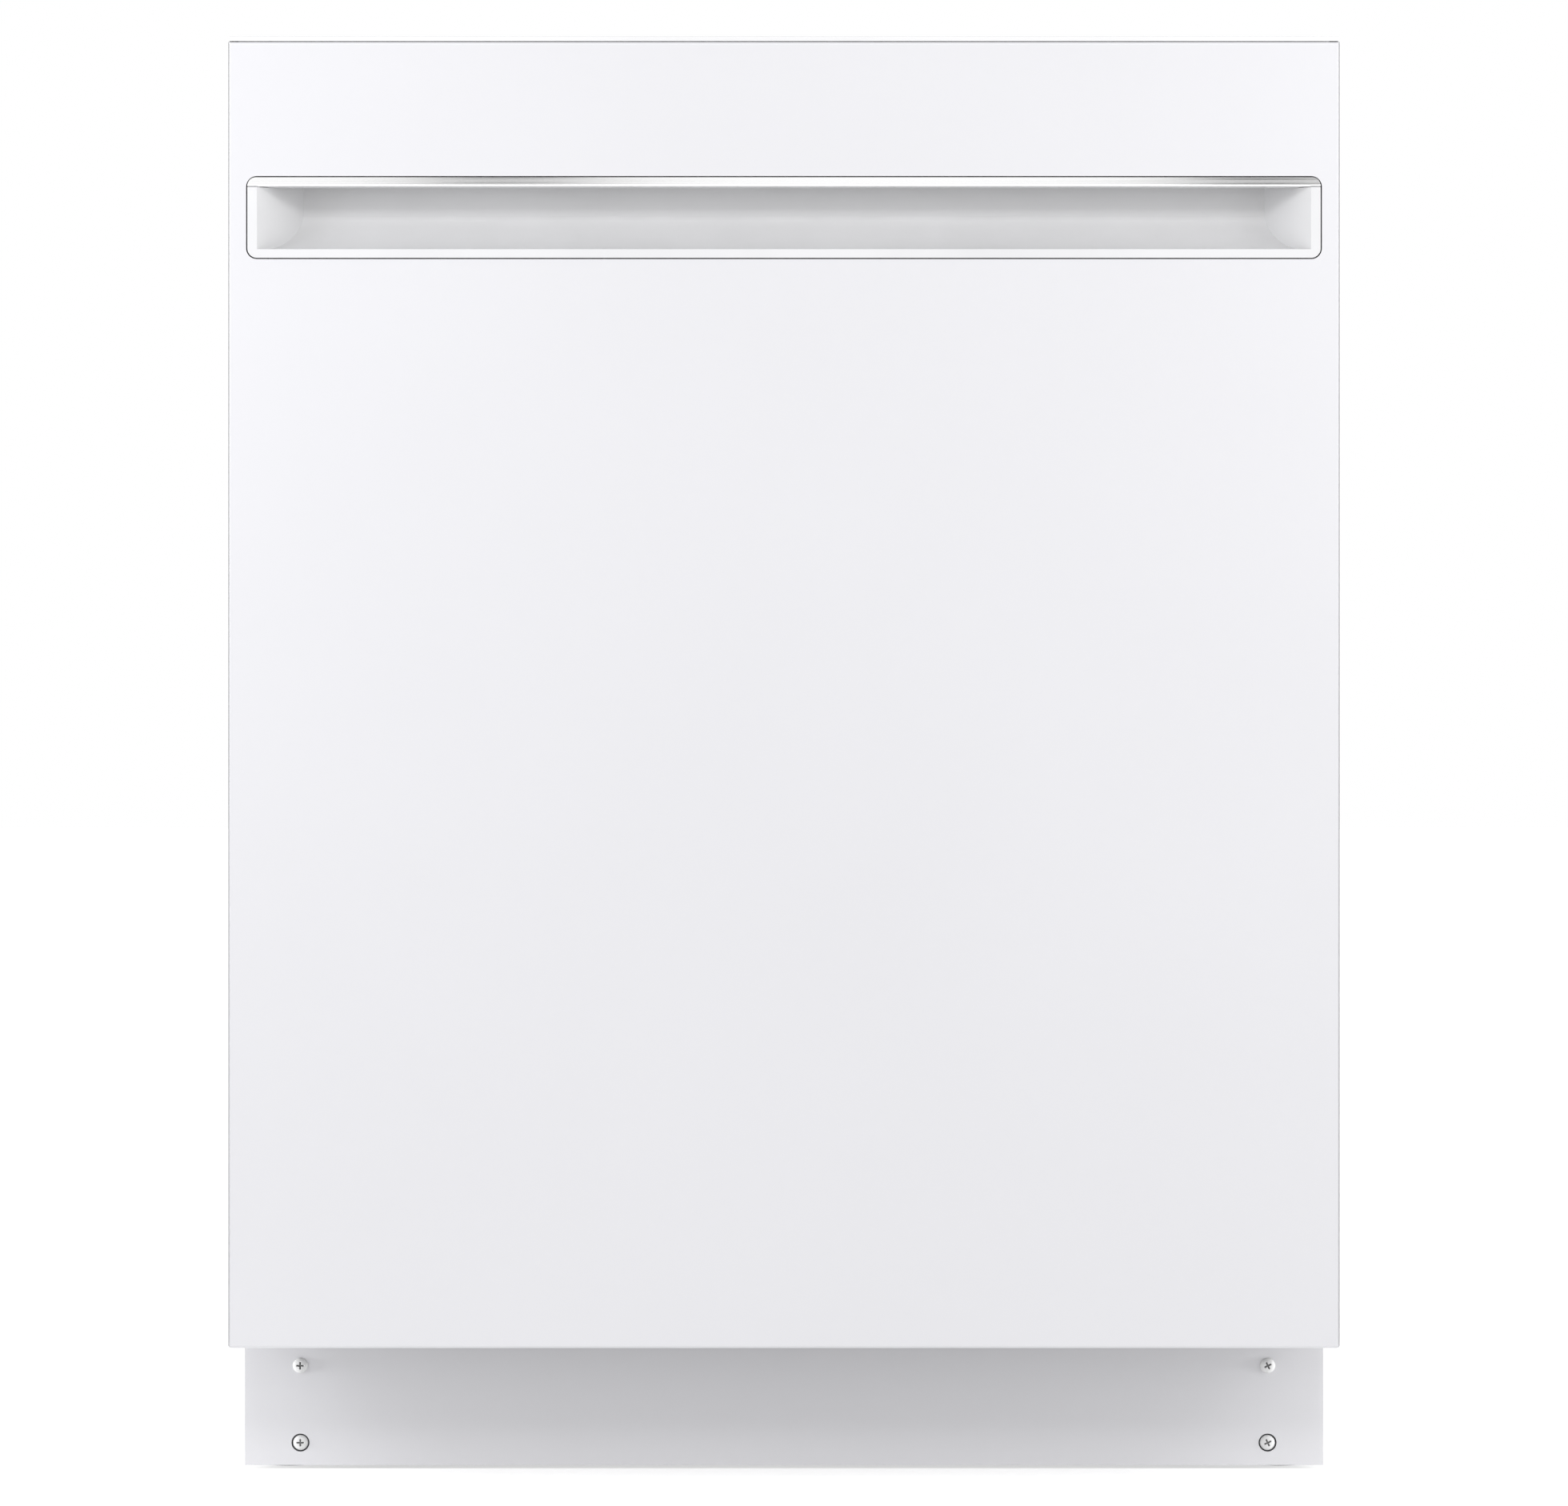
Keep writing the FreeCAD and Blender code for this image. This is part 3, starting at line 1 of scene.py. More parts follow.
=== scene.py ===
"""Looks of the built-in dishwasher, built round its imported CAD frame. Lengths are in metres."""

import json
import math

import bmesh
import bpy
from mathutils import Matrix, Vector, noise


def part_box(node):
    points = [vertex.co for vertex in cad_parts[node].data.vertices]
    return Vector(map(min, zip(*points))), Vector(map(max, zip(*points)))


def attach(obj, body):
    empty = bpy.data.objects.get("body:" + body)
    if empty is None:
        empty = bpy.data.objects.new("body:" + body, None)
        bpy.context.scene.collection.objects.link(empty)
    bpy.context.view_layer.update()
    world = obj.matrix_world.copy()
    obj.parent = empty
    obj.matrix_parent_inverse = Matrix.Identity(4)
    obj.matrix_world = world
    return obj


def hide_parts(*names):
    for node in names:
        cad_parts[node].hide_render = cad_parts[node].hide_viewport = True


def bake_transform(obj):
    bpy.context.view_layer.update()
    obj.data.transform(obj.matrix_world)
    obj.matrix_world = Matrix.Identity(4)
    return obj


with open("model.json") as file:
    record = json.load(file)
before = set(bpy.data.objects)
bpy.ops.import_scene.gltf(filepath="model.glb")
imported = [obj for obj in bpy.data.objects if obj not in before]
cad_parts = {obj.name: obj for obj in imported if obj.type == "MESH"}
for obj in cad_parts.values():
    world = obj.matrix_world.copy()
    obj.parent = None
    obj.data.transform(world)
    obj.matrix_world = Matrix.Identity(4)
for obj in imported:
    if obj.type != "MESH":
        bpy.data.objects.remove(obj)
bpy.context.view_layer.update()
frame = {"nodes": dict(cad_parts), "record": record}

MM = 0.001


# ================================================================ materials


class Finish:
    """A node material: one principled shader, fed by textures in the object's own coordinates."""

    def __init__(self, name, colour, roughness, metallic=0.0, **sockets):
        self.material = bpy.data.materials.new(name)
        self.material.use_nodes = True
        self.tree = self.material.node_tree
        self.shader = self.tree.nodes["Principled BSDF"]
        self.colour = (*colour, 1.0)
        self.set("Base Color", self.colour)
        self.set("Roughness", roughness)
        self.set("Metallic", metallic)
        for socket, value in sockets.items():
            self.set(socket.replace("_", " "), value)
        self.place = self.tree.nodes.new("ShaderNodeTexCoord").outputs["Object"]

    def set(self, socket, value):
        self.shader.inputs[socket].default_value = value

    def node(self, kind, inputs=None, **settings):
        made = self.tree.nodes.new("ShaderNode" + kind)
        for key, value in settings.items():
            setattr(made, key, value)
        for key, value in (inputs or {}).items():
            if isinstance(value, bpy.types.NodeSocket):
                self.tree.links.new(value, made.inputs[key])
            else:
                made.inputs[key].default_value = value
        return made

    def link(self, output, socket):
        self.tree.links.new(output, self.shader.inputs[socket])

    def stretched(self, scale):
        """Coordinates multiplied by a scale along each axis."""
        return self.node("Mapping", {"Vector": self.place, "Scale": scale}).outputs[0]

    def noise(self, scale, detail=3.0, rough=0.5, vector=None):
        return self.node("TexNoise", {"Vector": vector or self.place, "Scale": scale, "Detail": detail,
                                      "Roughness": rough}).outputs[0]

    def spread(self, value, low, high, start=0.3, end=0.7):
        """A texture's value between start and end, moved to between low and high."""
        return self.node("MapRange", {"Value": value, "From Min": start, "From Max": end, "To Min": low,
                                      "To Max": high}).outputs[0]

    def tint(self, factor, other, socket="Base Color"):
        """The shader's colour, mixed by a factor towards another colour."""
        mixed = self.node("Mix", data_type="RGBA")
        self.tree.links.new(factor, mixed.inputs[0])
        mixed.inputs[6].default_value = self.colour
        mixed.inputs[7].default_value = (*other, 1.0)
        self.link(mixed.outputs[2], socket)
        return mixed.outputs[2]

    def bump(self, height, depth, strength=1.0):
        made = self.node("Bump", {"Height": height, "Distance": depth, "Strength": strength})
        if self.shader.inputs["Normal"].links:
            self.tree.links.new(self.shader.inputs["Normal"].links[0].from_socket, made.inputs["Normal"])
        self.link(made.outputs[0], "Normal")


def scaled(colour, by):
    return tuple(c * by for c in colour)


def enamel(name, colour, roughness=0.34):
    """Smooth powder coat: a faint orange peel under a thin gloss."""
    made = Finish(name, colour, roughness, Coat_Weight=0.12, Coat_Roughness=0.2, Specular_IOR_Level=0.4)
    cloud = made.noise(5.0, 2.0)
    made.tint(made.spread(cloud, 0.0, 1.0), scaled(colour, 0.985))
    made.link(made.spread(made.noise(160.0), roughness - 0.03, roughness + 0.05), "Roughness")
    made.bump(made.noise(420.0, 2.0), 0.00003, 0.35)
    return made.material


def moulded(name, colour, roughness=0.42, grain=900.0, depth=0.00005, **sockets):
    """Injection-moulded plastic with a fine spark-eroded grain and a slight sink here and there."""
    made = Finish(name, colour, roughness, **sockets)
    made.tint(made.spread(made.noise(14.0, 3.0), 0.0, 1.0), scaled(colour, 0.94))
    made.link(made.spread(made.noise(70.0, 4.0), roughness - 0.05, roughness + 0.06), "Roughness")
    made.bump(made.noise(25.0, 1.0), 0.0003, 0.12)
    made.bump(made.noise(grain, 2.0), depth, 0.5)
    return made.material


def brushed(name, colour, along, roughness=0.3, depth=0.00004):
    """Brushed sheet steel: hairlines along one axis, with a cloudy variation across the sheet."""
    made = Finish(name, colour, roughness, metallic=1.0)
    scale = tuple(6.0 if axis == along else 900.0 for axis in "xyz")
    lines = made.noise(1.0, 5.0, 0.65, made.stretched(scale))
    made.tint(made.spread(lines, 0.0, 1.0, 0.25, 0.75), scaled(colour, 0.8))
    made.link(made.spread(made.noise(9.0, 3.0), roughness - 0.06, roughness + 0.08), "Roughness")
    made.bump(lines, depth, 0.6)
    return made.material


def galvanised(name, colour):
    """Zinc-coated sheet with a soft spangle and a few dull patches."""
    made = Finish(name, colour, 0.42, metallic=1.0)
    spangle = made.node("TexVoronoi", {"Vector": made.place, "Scale": 300.0}).outputs["Color"]
    grey = made.node("RGBToBW", {"Color": spangle}).outputs[0]
    made.tint(made.spread(grey, 0.0, 1.0, 0.1, 0.9), scaled(colour, 0.86))
    made.link(made.spread(made.noise(30.0), 0.34, 0.55), "Roughness")
    made.bump(made.noise(260.0), 0.00003, 0.4)
    return made.material


def polished(name, colour):
    """Bright trim: nearly a mirror, with hairline polish marks along it."""
    made = Finish(name, colour, 0.09, metallic=1.0)
    lines = made.noise(1.0, 3.0, 0.6, made.stretched((3.0, 500.0, 1400.0)))
    made.link(made.spread(lines, 0.07, 0.15), "Roughness")
    made.bump(lines, 0.000002, 0.3)
    return made.material


def rubber(name, colour):
    """Extruded rubber: matt, with a dusty bloom."""
    made = Finish(name, colour, 0.62, Specular_IOR_Level=0.35)
    made.tint(made.spread(made.noise(40.0), 0.0, 1.0), tuple(c * 1.5 + 0.01 for c in colour))
    made.link(made.spread(made.noise(90.0), 0.52, 0.74), "Roughness")
    made.bump(made.noise(1300.0, 2.0), 0.00006, 0.5)
    return made.material


def felt(name, colour):
    """Needled cotton felt: matted fibres of several greys with flecks, and a soft sheen."""
    made = Finish(name, colour, 0.95, Specular_IOR_Level=0.15, Sheen_Weight=0.35, Sheen_Roughness=0.6)
    fibres = made.noise(1.0, 6.0, 0.75, made.stretched((260.0, 420.0, 340.0)))
    flecks = made.noise(520.0, 2.0, 0.5)
    pale = tuple(min(1.0, c * 2.2 + 0.03) for c in colour)
    mixed = made.tint(made.spread(fibres, 0.0, 1.0, 0.35, 0.65), pale)
    speck = made.node("Mix", data_type="RGBA")
    made.tree.links.new(made.spread(flecks, 0.0, 0.35, 0.66, 0.74), speck.inputs[0])
    made.tree.links.new(mixed, speck.inputs[6])
    speck.inputs[7].default_value = (0.34, 0.36, 0.40, 1.0)
    made.link(speck.outputs[2], "Base Color")
    made.bump(made.noise(55.0, 3.0), 0.0012, 0.35)
    made.bump(fibres, 0.0006, 0.8)
    return made.material


def coated_wire(name, colour):
    """Nylon-dipped steel wire: a thick soft coat with faint runs."""
    made = Finish(name, colour, 0.36, Coat_Weight=0.35, Coat_Roughness=0.25)
    made.tint(made.spread(made.noise(35.0, 3.0), 0.0, 1.0), scaled(colour, 0.86))
    made.link(made.spread(made.noise(120.0), 0.3, 0.46), "Roughness")
    made.bump(made.noise(140.0, 2.0), 0.00025, 0.35)
    return made.material


def heated_tube(name):
    """Heating element: oxidised tube with straw and blue bands of heat tint."""
    made = Finish(name, (0.20, 0.18, 0.17), 0.4, metallic=1.0)
    band = made.noise(1.0, 2.0, 0.5, made.stretched((11.0, 11.0, 3.0)))
    ramp = made.node("ValToRGB", {"Fac": band})
    stops = ramp.color_ramp.elements
    stops[0].position, stops[0].color = 0.35, (0.21, 0.19, 0.17, 1)
    stops[1].position, stops[1].color = 0.68, (0.36, 0.30, 0.22, 1)
    blue = stops.new(0.56)
    blue.color = (0.20, 0.20, 0.25, 1)
    made.link(ramp.outputs[0], "Base Color")
    made.link(made.spread(made.noise(200.0), 0.3, 0.5), "Roughness")
    made.bump(made.noise(700.0), 0.00004, 0.5)
    return made.material


def circuit(name):
    """Lacquered board: blocks of copper tracks under a green mask."""
    made = Finish(name, (0.015, 0.16, 0.07), 0.3, Coat_Weight=0.4, Coat_Roughness=0.1)
    tracks = made.node("TexBrick", {"Vector": made.stretched((1.0, 1.0, 1.0)), "Scale": 160.0,
                                    "Mortar Size": 0.035, "Color1": (0, 0, 0, 1), "Color2": (0, 0, 0, 1),
                                    "Mortar": (1, 1, 1, 1)}).outputs["Color"]
    grey = made.node("RGBToBW", {"Color": tracks}).outputs[0]
    made.tint(grey, (0.10, 0.33, 0.12))
    made.link(made.spread(made.noise(80.0), 0.25, 0.42), "Roughness")
    made.bump(grey, 0.00008, 0.6)
    return made.material


def smoked(name):
    """Dark translucent plastic, seen as a gloss black window."""
    made = Finish(name, (0.03, 0.03, 0.035), 0.07, Coat_Weight=0.6, Coat_Roughness=0.03)
    made.link(made.spread(made.noise(60.0), 0.05, 0.13), "Roughness")
    made.bump(made.noise(30.0, 1.0), 0.00004, 0.3)
    return made.material


def filter_screen(name):
    """Fine woven mesh: a grid of pores, dark between bright wires; the near-black pores are painted shade for
    the dim depth of the holes.
    """
    made = Finish(name, (0.52, 0.53, 0.54), 0.38, metallic=0.85)
    cells = made.node("TexVoronoi", {"Vector": made.place, "Scale": 850.0, "Randomness": 0.0},
                      distance="CHEBYCHEV").outputs["Distance"]
    # The pores are painted near black: painted shade standing in for the holes.
    made.tint(made.spread(cells, 1.0, 0.0, 0.18, 0.34), (0.06, 0.06, 0.065))
    made.link(made.spread(made.noise(90.0), 0.3, 0.5), "Roughness")
    made.bump(cells, 0.0003, 0.8)
    return made.material


WHITE = (0.550, 0.548, 0.566)
FINISHES = {
    "white_enamel": enamel("white_enamel", WHITE),
    "white_plastic": moulded("white_plastic", (0.570, 0.570, 0.578), 0.42, grain=700.0, depth=0.00002),
    "polished_trim": polished("polished_trim", (0.995, 0.995, 0.995)),
    "screw_white": enamel("screw_white", (0.58, 0.58, 0.58), 0.42),
    "stainless": brushed("stainless", (0.62, 0.62, 0.63), "z"),
    "steel_screws": galvanised("steel_screws", (0.60, 0.60, 0.60)),
    "galvanised": galvanised("galvanised", (0.56, 0.57, 0.58)),
    "link_steel": galvanised("link_steel", (0.47, 0.46, 0.42)),
    "spring_steel": brushed("spring_steel", (0.34, 0.34, 0.35), "y", 0.33),
    "rail_steel": brushed("rail_steel", (0.66, 0.66, 0.67), "y", 0.26),
    "collar_grey": enamel("collar_grey", (0.40, 0.41, 0.43), 0.42),
    "seal_rubber": rubber("seal_rubber", (0.035, 0.036, 0.038)),
    "felt": felt("felt", (0.055, 0.057, 0.062)),
    "element": heated_tube("element"),
    "grey_plastic": moulded("grey_plastic", (0.46, 0.48, 0.51)),
    "dispenser_plastic": moulded("dispenser_plastic", (0.60, 0.62, 0.64), 0.36),
    "cap_plastic": moulded("cap_plastic", (0.06, 0.16, 0.40), 0.34),
    "black_plastic": moulded("black_plastic", (0.022, 0.022, 0.024), 0.45, depth=0.0001),
    "filter_mesh": filter_screen("filter_mesh"),
    "float_plastic": moulded("float_plastic", (0.80, 0.80, 0.78), 0.4),
    "junction_steel": galvanised("junction_steel", (0.48, 0.49, 0.50)),
    "circuit_board": circuit("circuit_board"),
    "lens_smoke": smoked("lens_smoke"),
    "button_grey": moulded("button_grey", (0.66, 0.67, 0.69), 0.3),
    "rack_wire": coated_wire("rack_wire", (0.33, 0.36, 0.41)),
}


def dress_cad():
    """Gives every CAD node the material of its slot in the record, except for the console strip, which gets a
    lighter copy of the white plastic: painted light that lifts the strip's shaded tone.
    """
    # A lighter copy of the white plastic for the console strip: painted light.
    console = moulded("console_white_painted_light", (0.615, 0.615, 0.622), 0.36, grain=700.0, depth=0.00002)
    for part in frame["record"]["subparts"]:
        mesh = frame["nodes"][part["node"]].data
        mesh.materials.clear()
        own = console if part["node"] == "control_console" else FINISHES[part["material_slot"]]
        mesh.materials.append(own)


# ================================================================ mesh helpers


def piece(name, mesh, slot, body, replaced=()):
    """A finished mesh in the row frame, as a piece that rides on a body."""
    mesh.materials.append(FINISHES[slot])
    made = bpy.data.objects.new(name, mesh)
    bpy.context.scene.collection.objects.link(made)
    if body:
        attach(made, body)
    if replaced:
        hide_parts(*replaced)
    return made


def rounded(points, bend, steps=6, closed=False):
    """A path through corners, each turned by an arc no larger than its runs allow."""
    points = [Vector(p) for p in points]
    count = len(points)
    path = [] if closed else [points[0]]
    for n in range(count if closed else count - 2):
        before, corner, after = (points[(n + k) % count] for k in ((-1, 0, 1) if closed else (0, 1, 2)))
        back, on = before - corner, after - corner
        turn = back.angle(on)
        reach = min(bend / math.tan(turn / 2), back.length * 0.5, on.length * 0.5)
        back.normalize()
        on.normalize()
        radius = reach * math.tan(turn / 2)
        inward = (back + on).normalized()
        centre = corner + inward * (radius / math.sin(turn / 2))
        start, end = (corner + way * reach - centre for way in (back, on))
        for k in range(steps + 1):
            path.append(centre + start.normalized().slerp(end.normalized(), k / steps) * radius)
    if not closed:
        path.append(points[-1])
    return path


def tube(bm, path, radius, sides=10, closed=False, domed=True):
    """A round bar along a path. Its open ends are domed or flat."""
    count = len(path)
    if closed:
        ways = [(path[(n + 1) % count] - path[n - 1]).normalized() for n in range(count)]
        radii = [radius] * count
    else:
        ways = [(path[min(n + 1, count - 1)] - path[max(n - 1, 0)]).normalized() for n in range(count)]
        radii = [radius] * count
        if domed:
            path, ways, radii = domed_ends(path, ways, radii, radius)
            count = len(path)
    side = ways[0].orthogonal().normalized()
    rings = []
    for n in range(count):
        if n:
            side = (ways[n - 1].rotation_difference(ways[n]) @ side).normalized()
            side = (side - ways[n] * side.dot(ways[n])).normalized()
        other = ways[n].cross(side)
        angles = [2 * math.pi * k / sides for k in range(sides)]
        rings.append([bm.verts.new(path[n] + (side * math.cos(a) + other * math.sin(a)) * radii[n])
                      for a in angles])
    for n in range(count if closed else count - 1):
        ring, after = rings[n], rings[(n + 1) % count]
        shift = nearest_shift(ring, after) if closed and n == count - 1 else 0
        for k in range(sides):
            far = (k + shift) % sides
            bm.faces.new((ring[k], ring[(k + 1) % sides], after[(far + 1) % sides], after[far]))
    if not closed:
        bm.faces.new(reversed(rings[0]))
        bm.faces.new(rings[-1])


def nearest_shift(ring, after):
    """How far a ring's numbering is turned from the ring that it closes onto."""
    return min(range(len(ring)), key=lambda k: (after[k].co - ring[0].co).length)


def domed_ends(path, ways, radii, radius):
    """The path with two smaller rings added inside each end, for a rounded tip."""
    first, last = ways[0], ways[-1]
    steps = ((0.0, 0.45), (0.22, 0.8), (0.7, 1.0))
    head = [path[0] + first * radius * a for a, _ in steps]
    tail = [path[-1] - last * radius * a for a, _ in reversed(steps)]
    sizes = [radius * b for _, b in steps]
    return (head + list(path[1:-1]) + tail, [first] * 3 + list(ways[1:-1]) + [last] * 3,
            sizes + radii[1:-1] + sizes[::-1])


def finished(bm, name, smooth=True):
    """The bmesh as a mesh with outward normals."""
    bmesh.ops.recalc_face_normals(bm, faces=bm.faces)
    mesh = bpy.data.meshes.new(name)
    bm.to_mesh(mesh)
    bm.free()
    if smooth:
        mesh.polygons.foreach_set("use_smooth", [True] * len(mesh.polygons))
    return mesh


# ================================================================ racks


def spread_out(low, high, count):
    return [low + (high - low) * n / (count - 1) for n in range(count)]


class Basket:
    """The layout of a wire basket, given in millimetres in the frame's coordinates."""

    wire, rim_wire = 2.0 * MM, 3.0 * MM

    def __init__(self, half, front, back, floor, rim, columns, rows):
        sizes = (half, front, back, floor, rim)
        self.half, self.front, self.back, self.floor, self.rim = (v * MM for v in sizes)
        self.xs = spread_out(-self.half + 14 * MM, self.half - 14 * MM, columns)
        self.ys = spread_out(self.front + 12 * MM, self.back - 12 * MM, rows)
        self.foot = self.floor + 5 * MM

    def loop(self, level, inset):
        """A closed rail round the basket."""
        x, front, back = self.half - inset, self.front + inset, self.back - inset
        points = [(-x, front, level), (x, front, level), (x, back, level), (-x, back, level)]
        return rounded(points, 16 * MM, 7, closed=True)

    def body(self, bm, columns, rows, tall):
        """The whole basket but its folding tines: wires, rails, rim and the fixed tines in some columns."""
        for path in self.floor_wires():
            tube(bm, path, self.wire)
        middle = (self.floor + self.rim) / 2
        for level, inset in ((middle, 0.8 * MM), (middle - 26 * MM, 0.8 * MM)):
            tube(bm, self.loop(level, inset), self.wire, closed=True)
        tube(bm, self.loop(self.rim, 1 * MM), self.rim_wire, 12, True)
        for column in columns:
            for path in self.hairpins(self.xs[column], rows, tall, 2 * MM):
                tube(bm, path, self.wire)

    def floor_wires(self):
        """U-shaped wires both ways, each bent up to the rim."""
        up, bend = 3 * MM, 11 * MM
        rim = self.rim - 1 * MM
        paths = [rounded([(-self.half, y, rim), (-self.half, y, self.floor), (self.half, y, self.floor),
                          (self.half, y, rim)], bend) for y in self.ys]
        paths += [rounded([(x, self.front, rim), (x, self.front, self.floor + up),
                           (x, self.back, self.floor + up), (x, self.back, rim)], bend) for x in self.xs]
        return paths

    def hairpins(self, x, rows, tall, lift):
        """Tines in pairs, each pair one wire bent under between them. An odd last one has a short foot."""
        level = self.foot + lift
        paths = []
        for near, far in zip(rows[::2], rows[1::2]):
            paths.append(rounded([(x, near, level + tall), (x, near, level), (x, far, level),
                                  (x, far, level + tall)], 5.5 * MM))
        if len(rows) % 2:
            paths.append(rounded([(x, rows[-1], level + tall), (x, rows[-1], level),
                                  (x, rows[-1] - 16 * MM, level)], 5.5 * MM))
        return paths


LOWER = Basket(246.5, -215, 258, 152, 292, 11, 14)
UPPER = Basket(238, -212, 250, 445, 560, 11, 13)


def lower_rack():
    """The lower basket, its folding tine row on a pivot bar, and the wheel carriers and tine clips."""
    rack, rows, tall = LOWER, LOWER.ys[1:-1], 72 * MM
    bm = bmesh.new()
    rack.body(bm, (1, 3), rows, tall)
    piece("lower_rack_wires", finished(bm, "lower_rack_wires"), "rack_wire", "lower_rack",
          ["lower_rack_basket"])

    pivot = rack.foot + 2.7 * MM
    bm = bmesh.new()
    tube(bm, [Vector((0, rows[0] - 14 * MM, pivot)), Vector((0, rows[-1] + 14 * MM, pivot))], 2.4 * MM, 12)
    for path in rack.hairpins(0.0, rows, tall, 4.6 * MM):
        tube(bm, path, rack.wire)
    piece("folding_tines", finished(bm, "folding_tines"), "rack_wire", "fold_tines", ["fold_tines"])

    bm = bmesh.new()
    for y in (rows[0] - 9 * MM, rows[-1] + 9 * MM):
        block(bm, (-6.5 * MM, y - 3 * MM, rack.foot + 0.1 * MM), (6.5 * MM, y + 3 * MM, rack.foot + 8 * MM))
    for side in (-1, 1):
        for wheels in ("front_wheels", "rear_wheels"):
            low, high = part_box(wheels)
            carrier(bm, side, (low.y + high.y) / 2, (low.z + high.z) / 2)
    clips = piece("lower_rack_carriers", finished(bm, "carriers", smooth=False), "grey_plastic", "lower_rack")
    soften(clips, 1.2 * MM)


def block(bm, low, high):
    """A plain box, before its edges are softened."""
    centre, size = (Vector(low) + Vector(high)) / 2, Vector(high) - Vector(low)
    for vert in bmesh.ops.create_cube(bm, size=1.0)["verts"]:
        vert.co = Vector(a * b for a, b in zip(vert.co, size)) + centre


def drum(bm, start, end, radius, sides=32):
    """A short cylinder from one point to another."""
    way = Vector(end) - Vector(start)
    turn = Vector((0, 0, 1)).rotation_difference(way).to_matrix().to_4x4()
    matrix = Matrix.Translation((Vector(start) + Vector(end)) / 2) @ turn
    bmesh.ops.create_cone(bm, cap_ends=True, segments=sides, radius1=radius, radius2=radius,
                          depth=way.length, matrix=matrix)


def carrier(bm, side, y, z):
    """A wheel carrier: a leg clipped over the rack's side wires, a boss and the axle's hub cap."""
    inner, outer = 249.2 * MM, 254.8 * MM
    low, high = sorted((side * inner, side * outer))
    block(bm, (low, y - 11 * MM, z - 9 * MM), (high, y + 11 * MM, z + 51 * MM))
    near, far = sorted((side * (inner - 0.3 * MM), side * (outer + 0.3 * MM)))
    block(bm, (near, y - 17 * MM, z + 26 * MM), (far, y + 17 * MM, z + 44 * MM))
    drum(bm, (side * 252 * MM, y, z), (side * 256.4 * MM, y, z), 9 * MM)
    drum(bm, (side * 254 * MM, y, z), (side * 267.4 * MM, y, z), 3.9 * MM)
    drum(bm, (side * 266.5 * MM, y, z), (side * 268.2 * MM, y, z), 6 * MM)


def soften(made, width, segments=3):
    """Rounds the edges of a built piece, applied to its mesh."""
    bevel = made.modifiers.new("soft_edges", "BEVEL")
    bevel.width, bevel.segments, bevel.limit_method = width, segments, "ANGLE"
    bevel.harden_normals = True
    apply_modifiers(made)
    made.data.polygons.foreach_set("use_smooth", [True] * len(made.data.polygons))


def apply_modifiers(made):
    graph = bpy.context.evaluated_depsgraph_get()
    mesh = bpy.data.meshes.new_from_object(made.evaluated_get(graph))
    made.modifiers.clear()
    made.data = mesh


def upper_rack():
    """The upper basket and the glides that hold it on its rails."""
    bm = bmesh.new()
    UPPER.body(bm, (2, 4, 6, 8), UPPER.ys[2:-1:2], 46 * MM)
    piece("upper_rack_wires", finished(bm, "upper_rack_wires"), "rack_wire", "upper_rack",
          ["upper_rack_basket"])

    _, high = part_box("upper_rack_basket")
    rail_low, rail_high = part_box("rail_sliders")
    middle = (rail_low.z + rail_high.z) / 2
    front, back = rail_low.y + 4 * MM, rail_high.y - 4 * MM
    bm = bmesh.new()
    for side in (-1, 1):
        near, far = sorted((side * 259 * MM, side * high.x))
        block(bm, (near, front, middle - 12.2 * MM), (far, back, middle + 12.2 * MM))
        for y in (-135 * MM, 175 * MM):
            near, far = sorted((side * 240.3 * MM, side * 260 * MM))
            block(bm, (near, y - 15 * MM, middle - 7 * MM), (far, y + 15 * MM, middle + 7 * MM))
    glides = piece("upper_rack_glides", finished(bm, "glides", smooth=False), "rail_steel", "upper_rack")
    soften(glides, 1.0 * MM)


# ================================================================ screws


SCREW_X = 268 * MM
RECESS_DEPTH = 1.35 * MM
RIGHT_SCREW_TURN = math.radians(25)


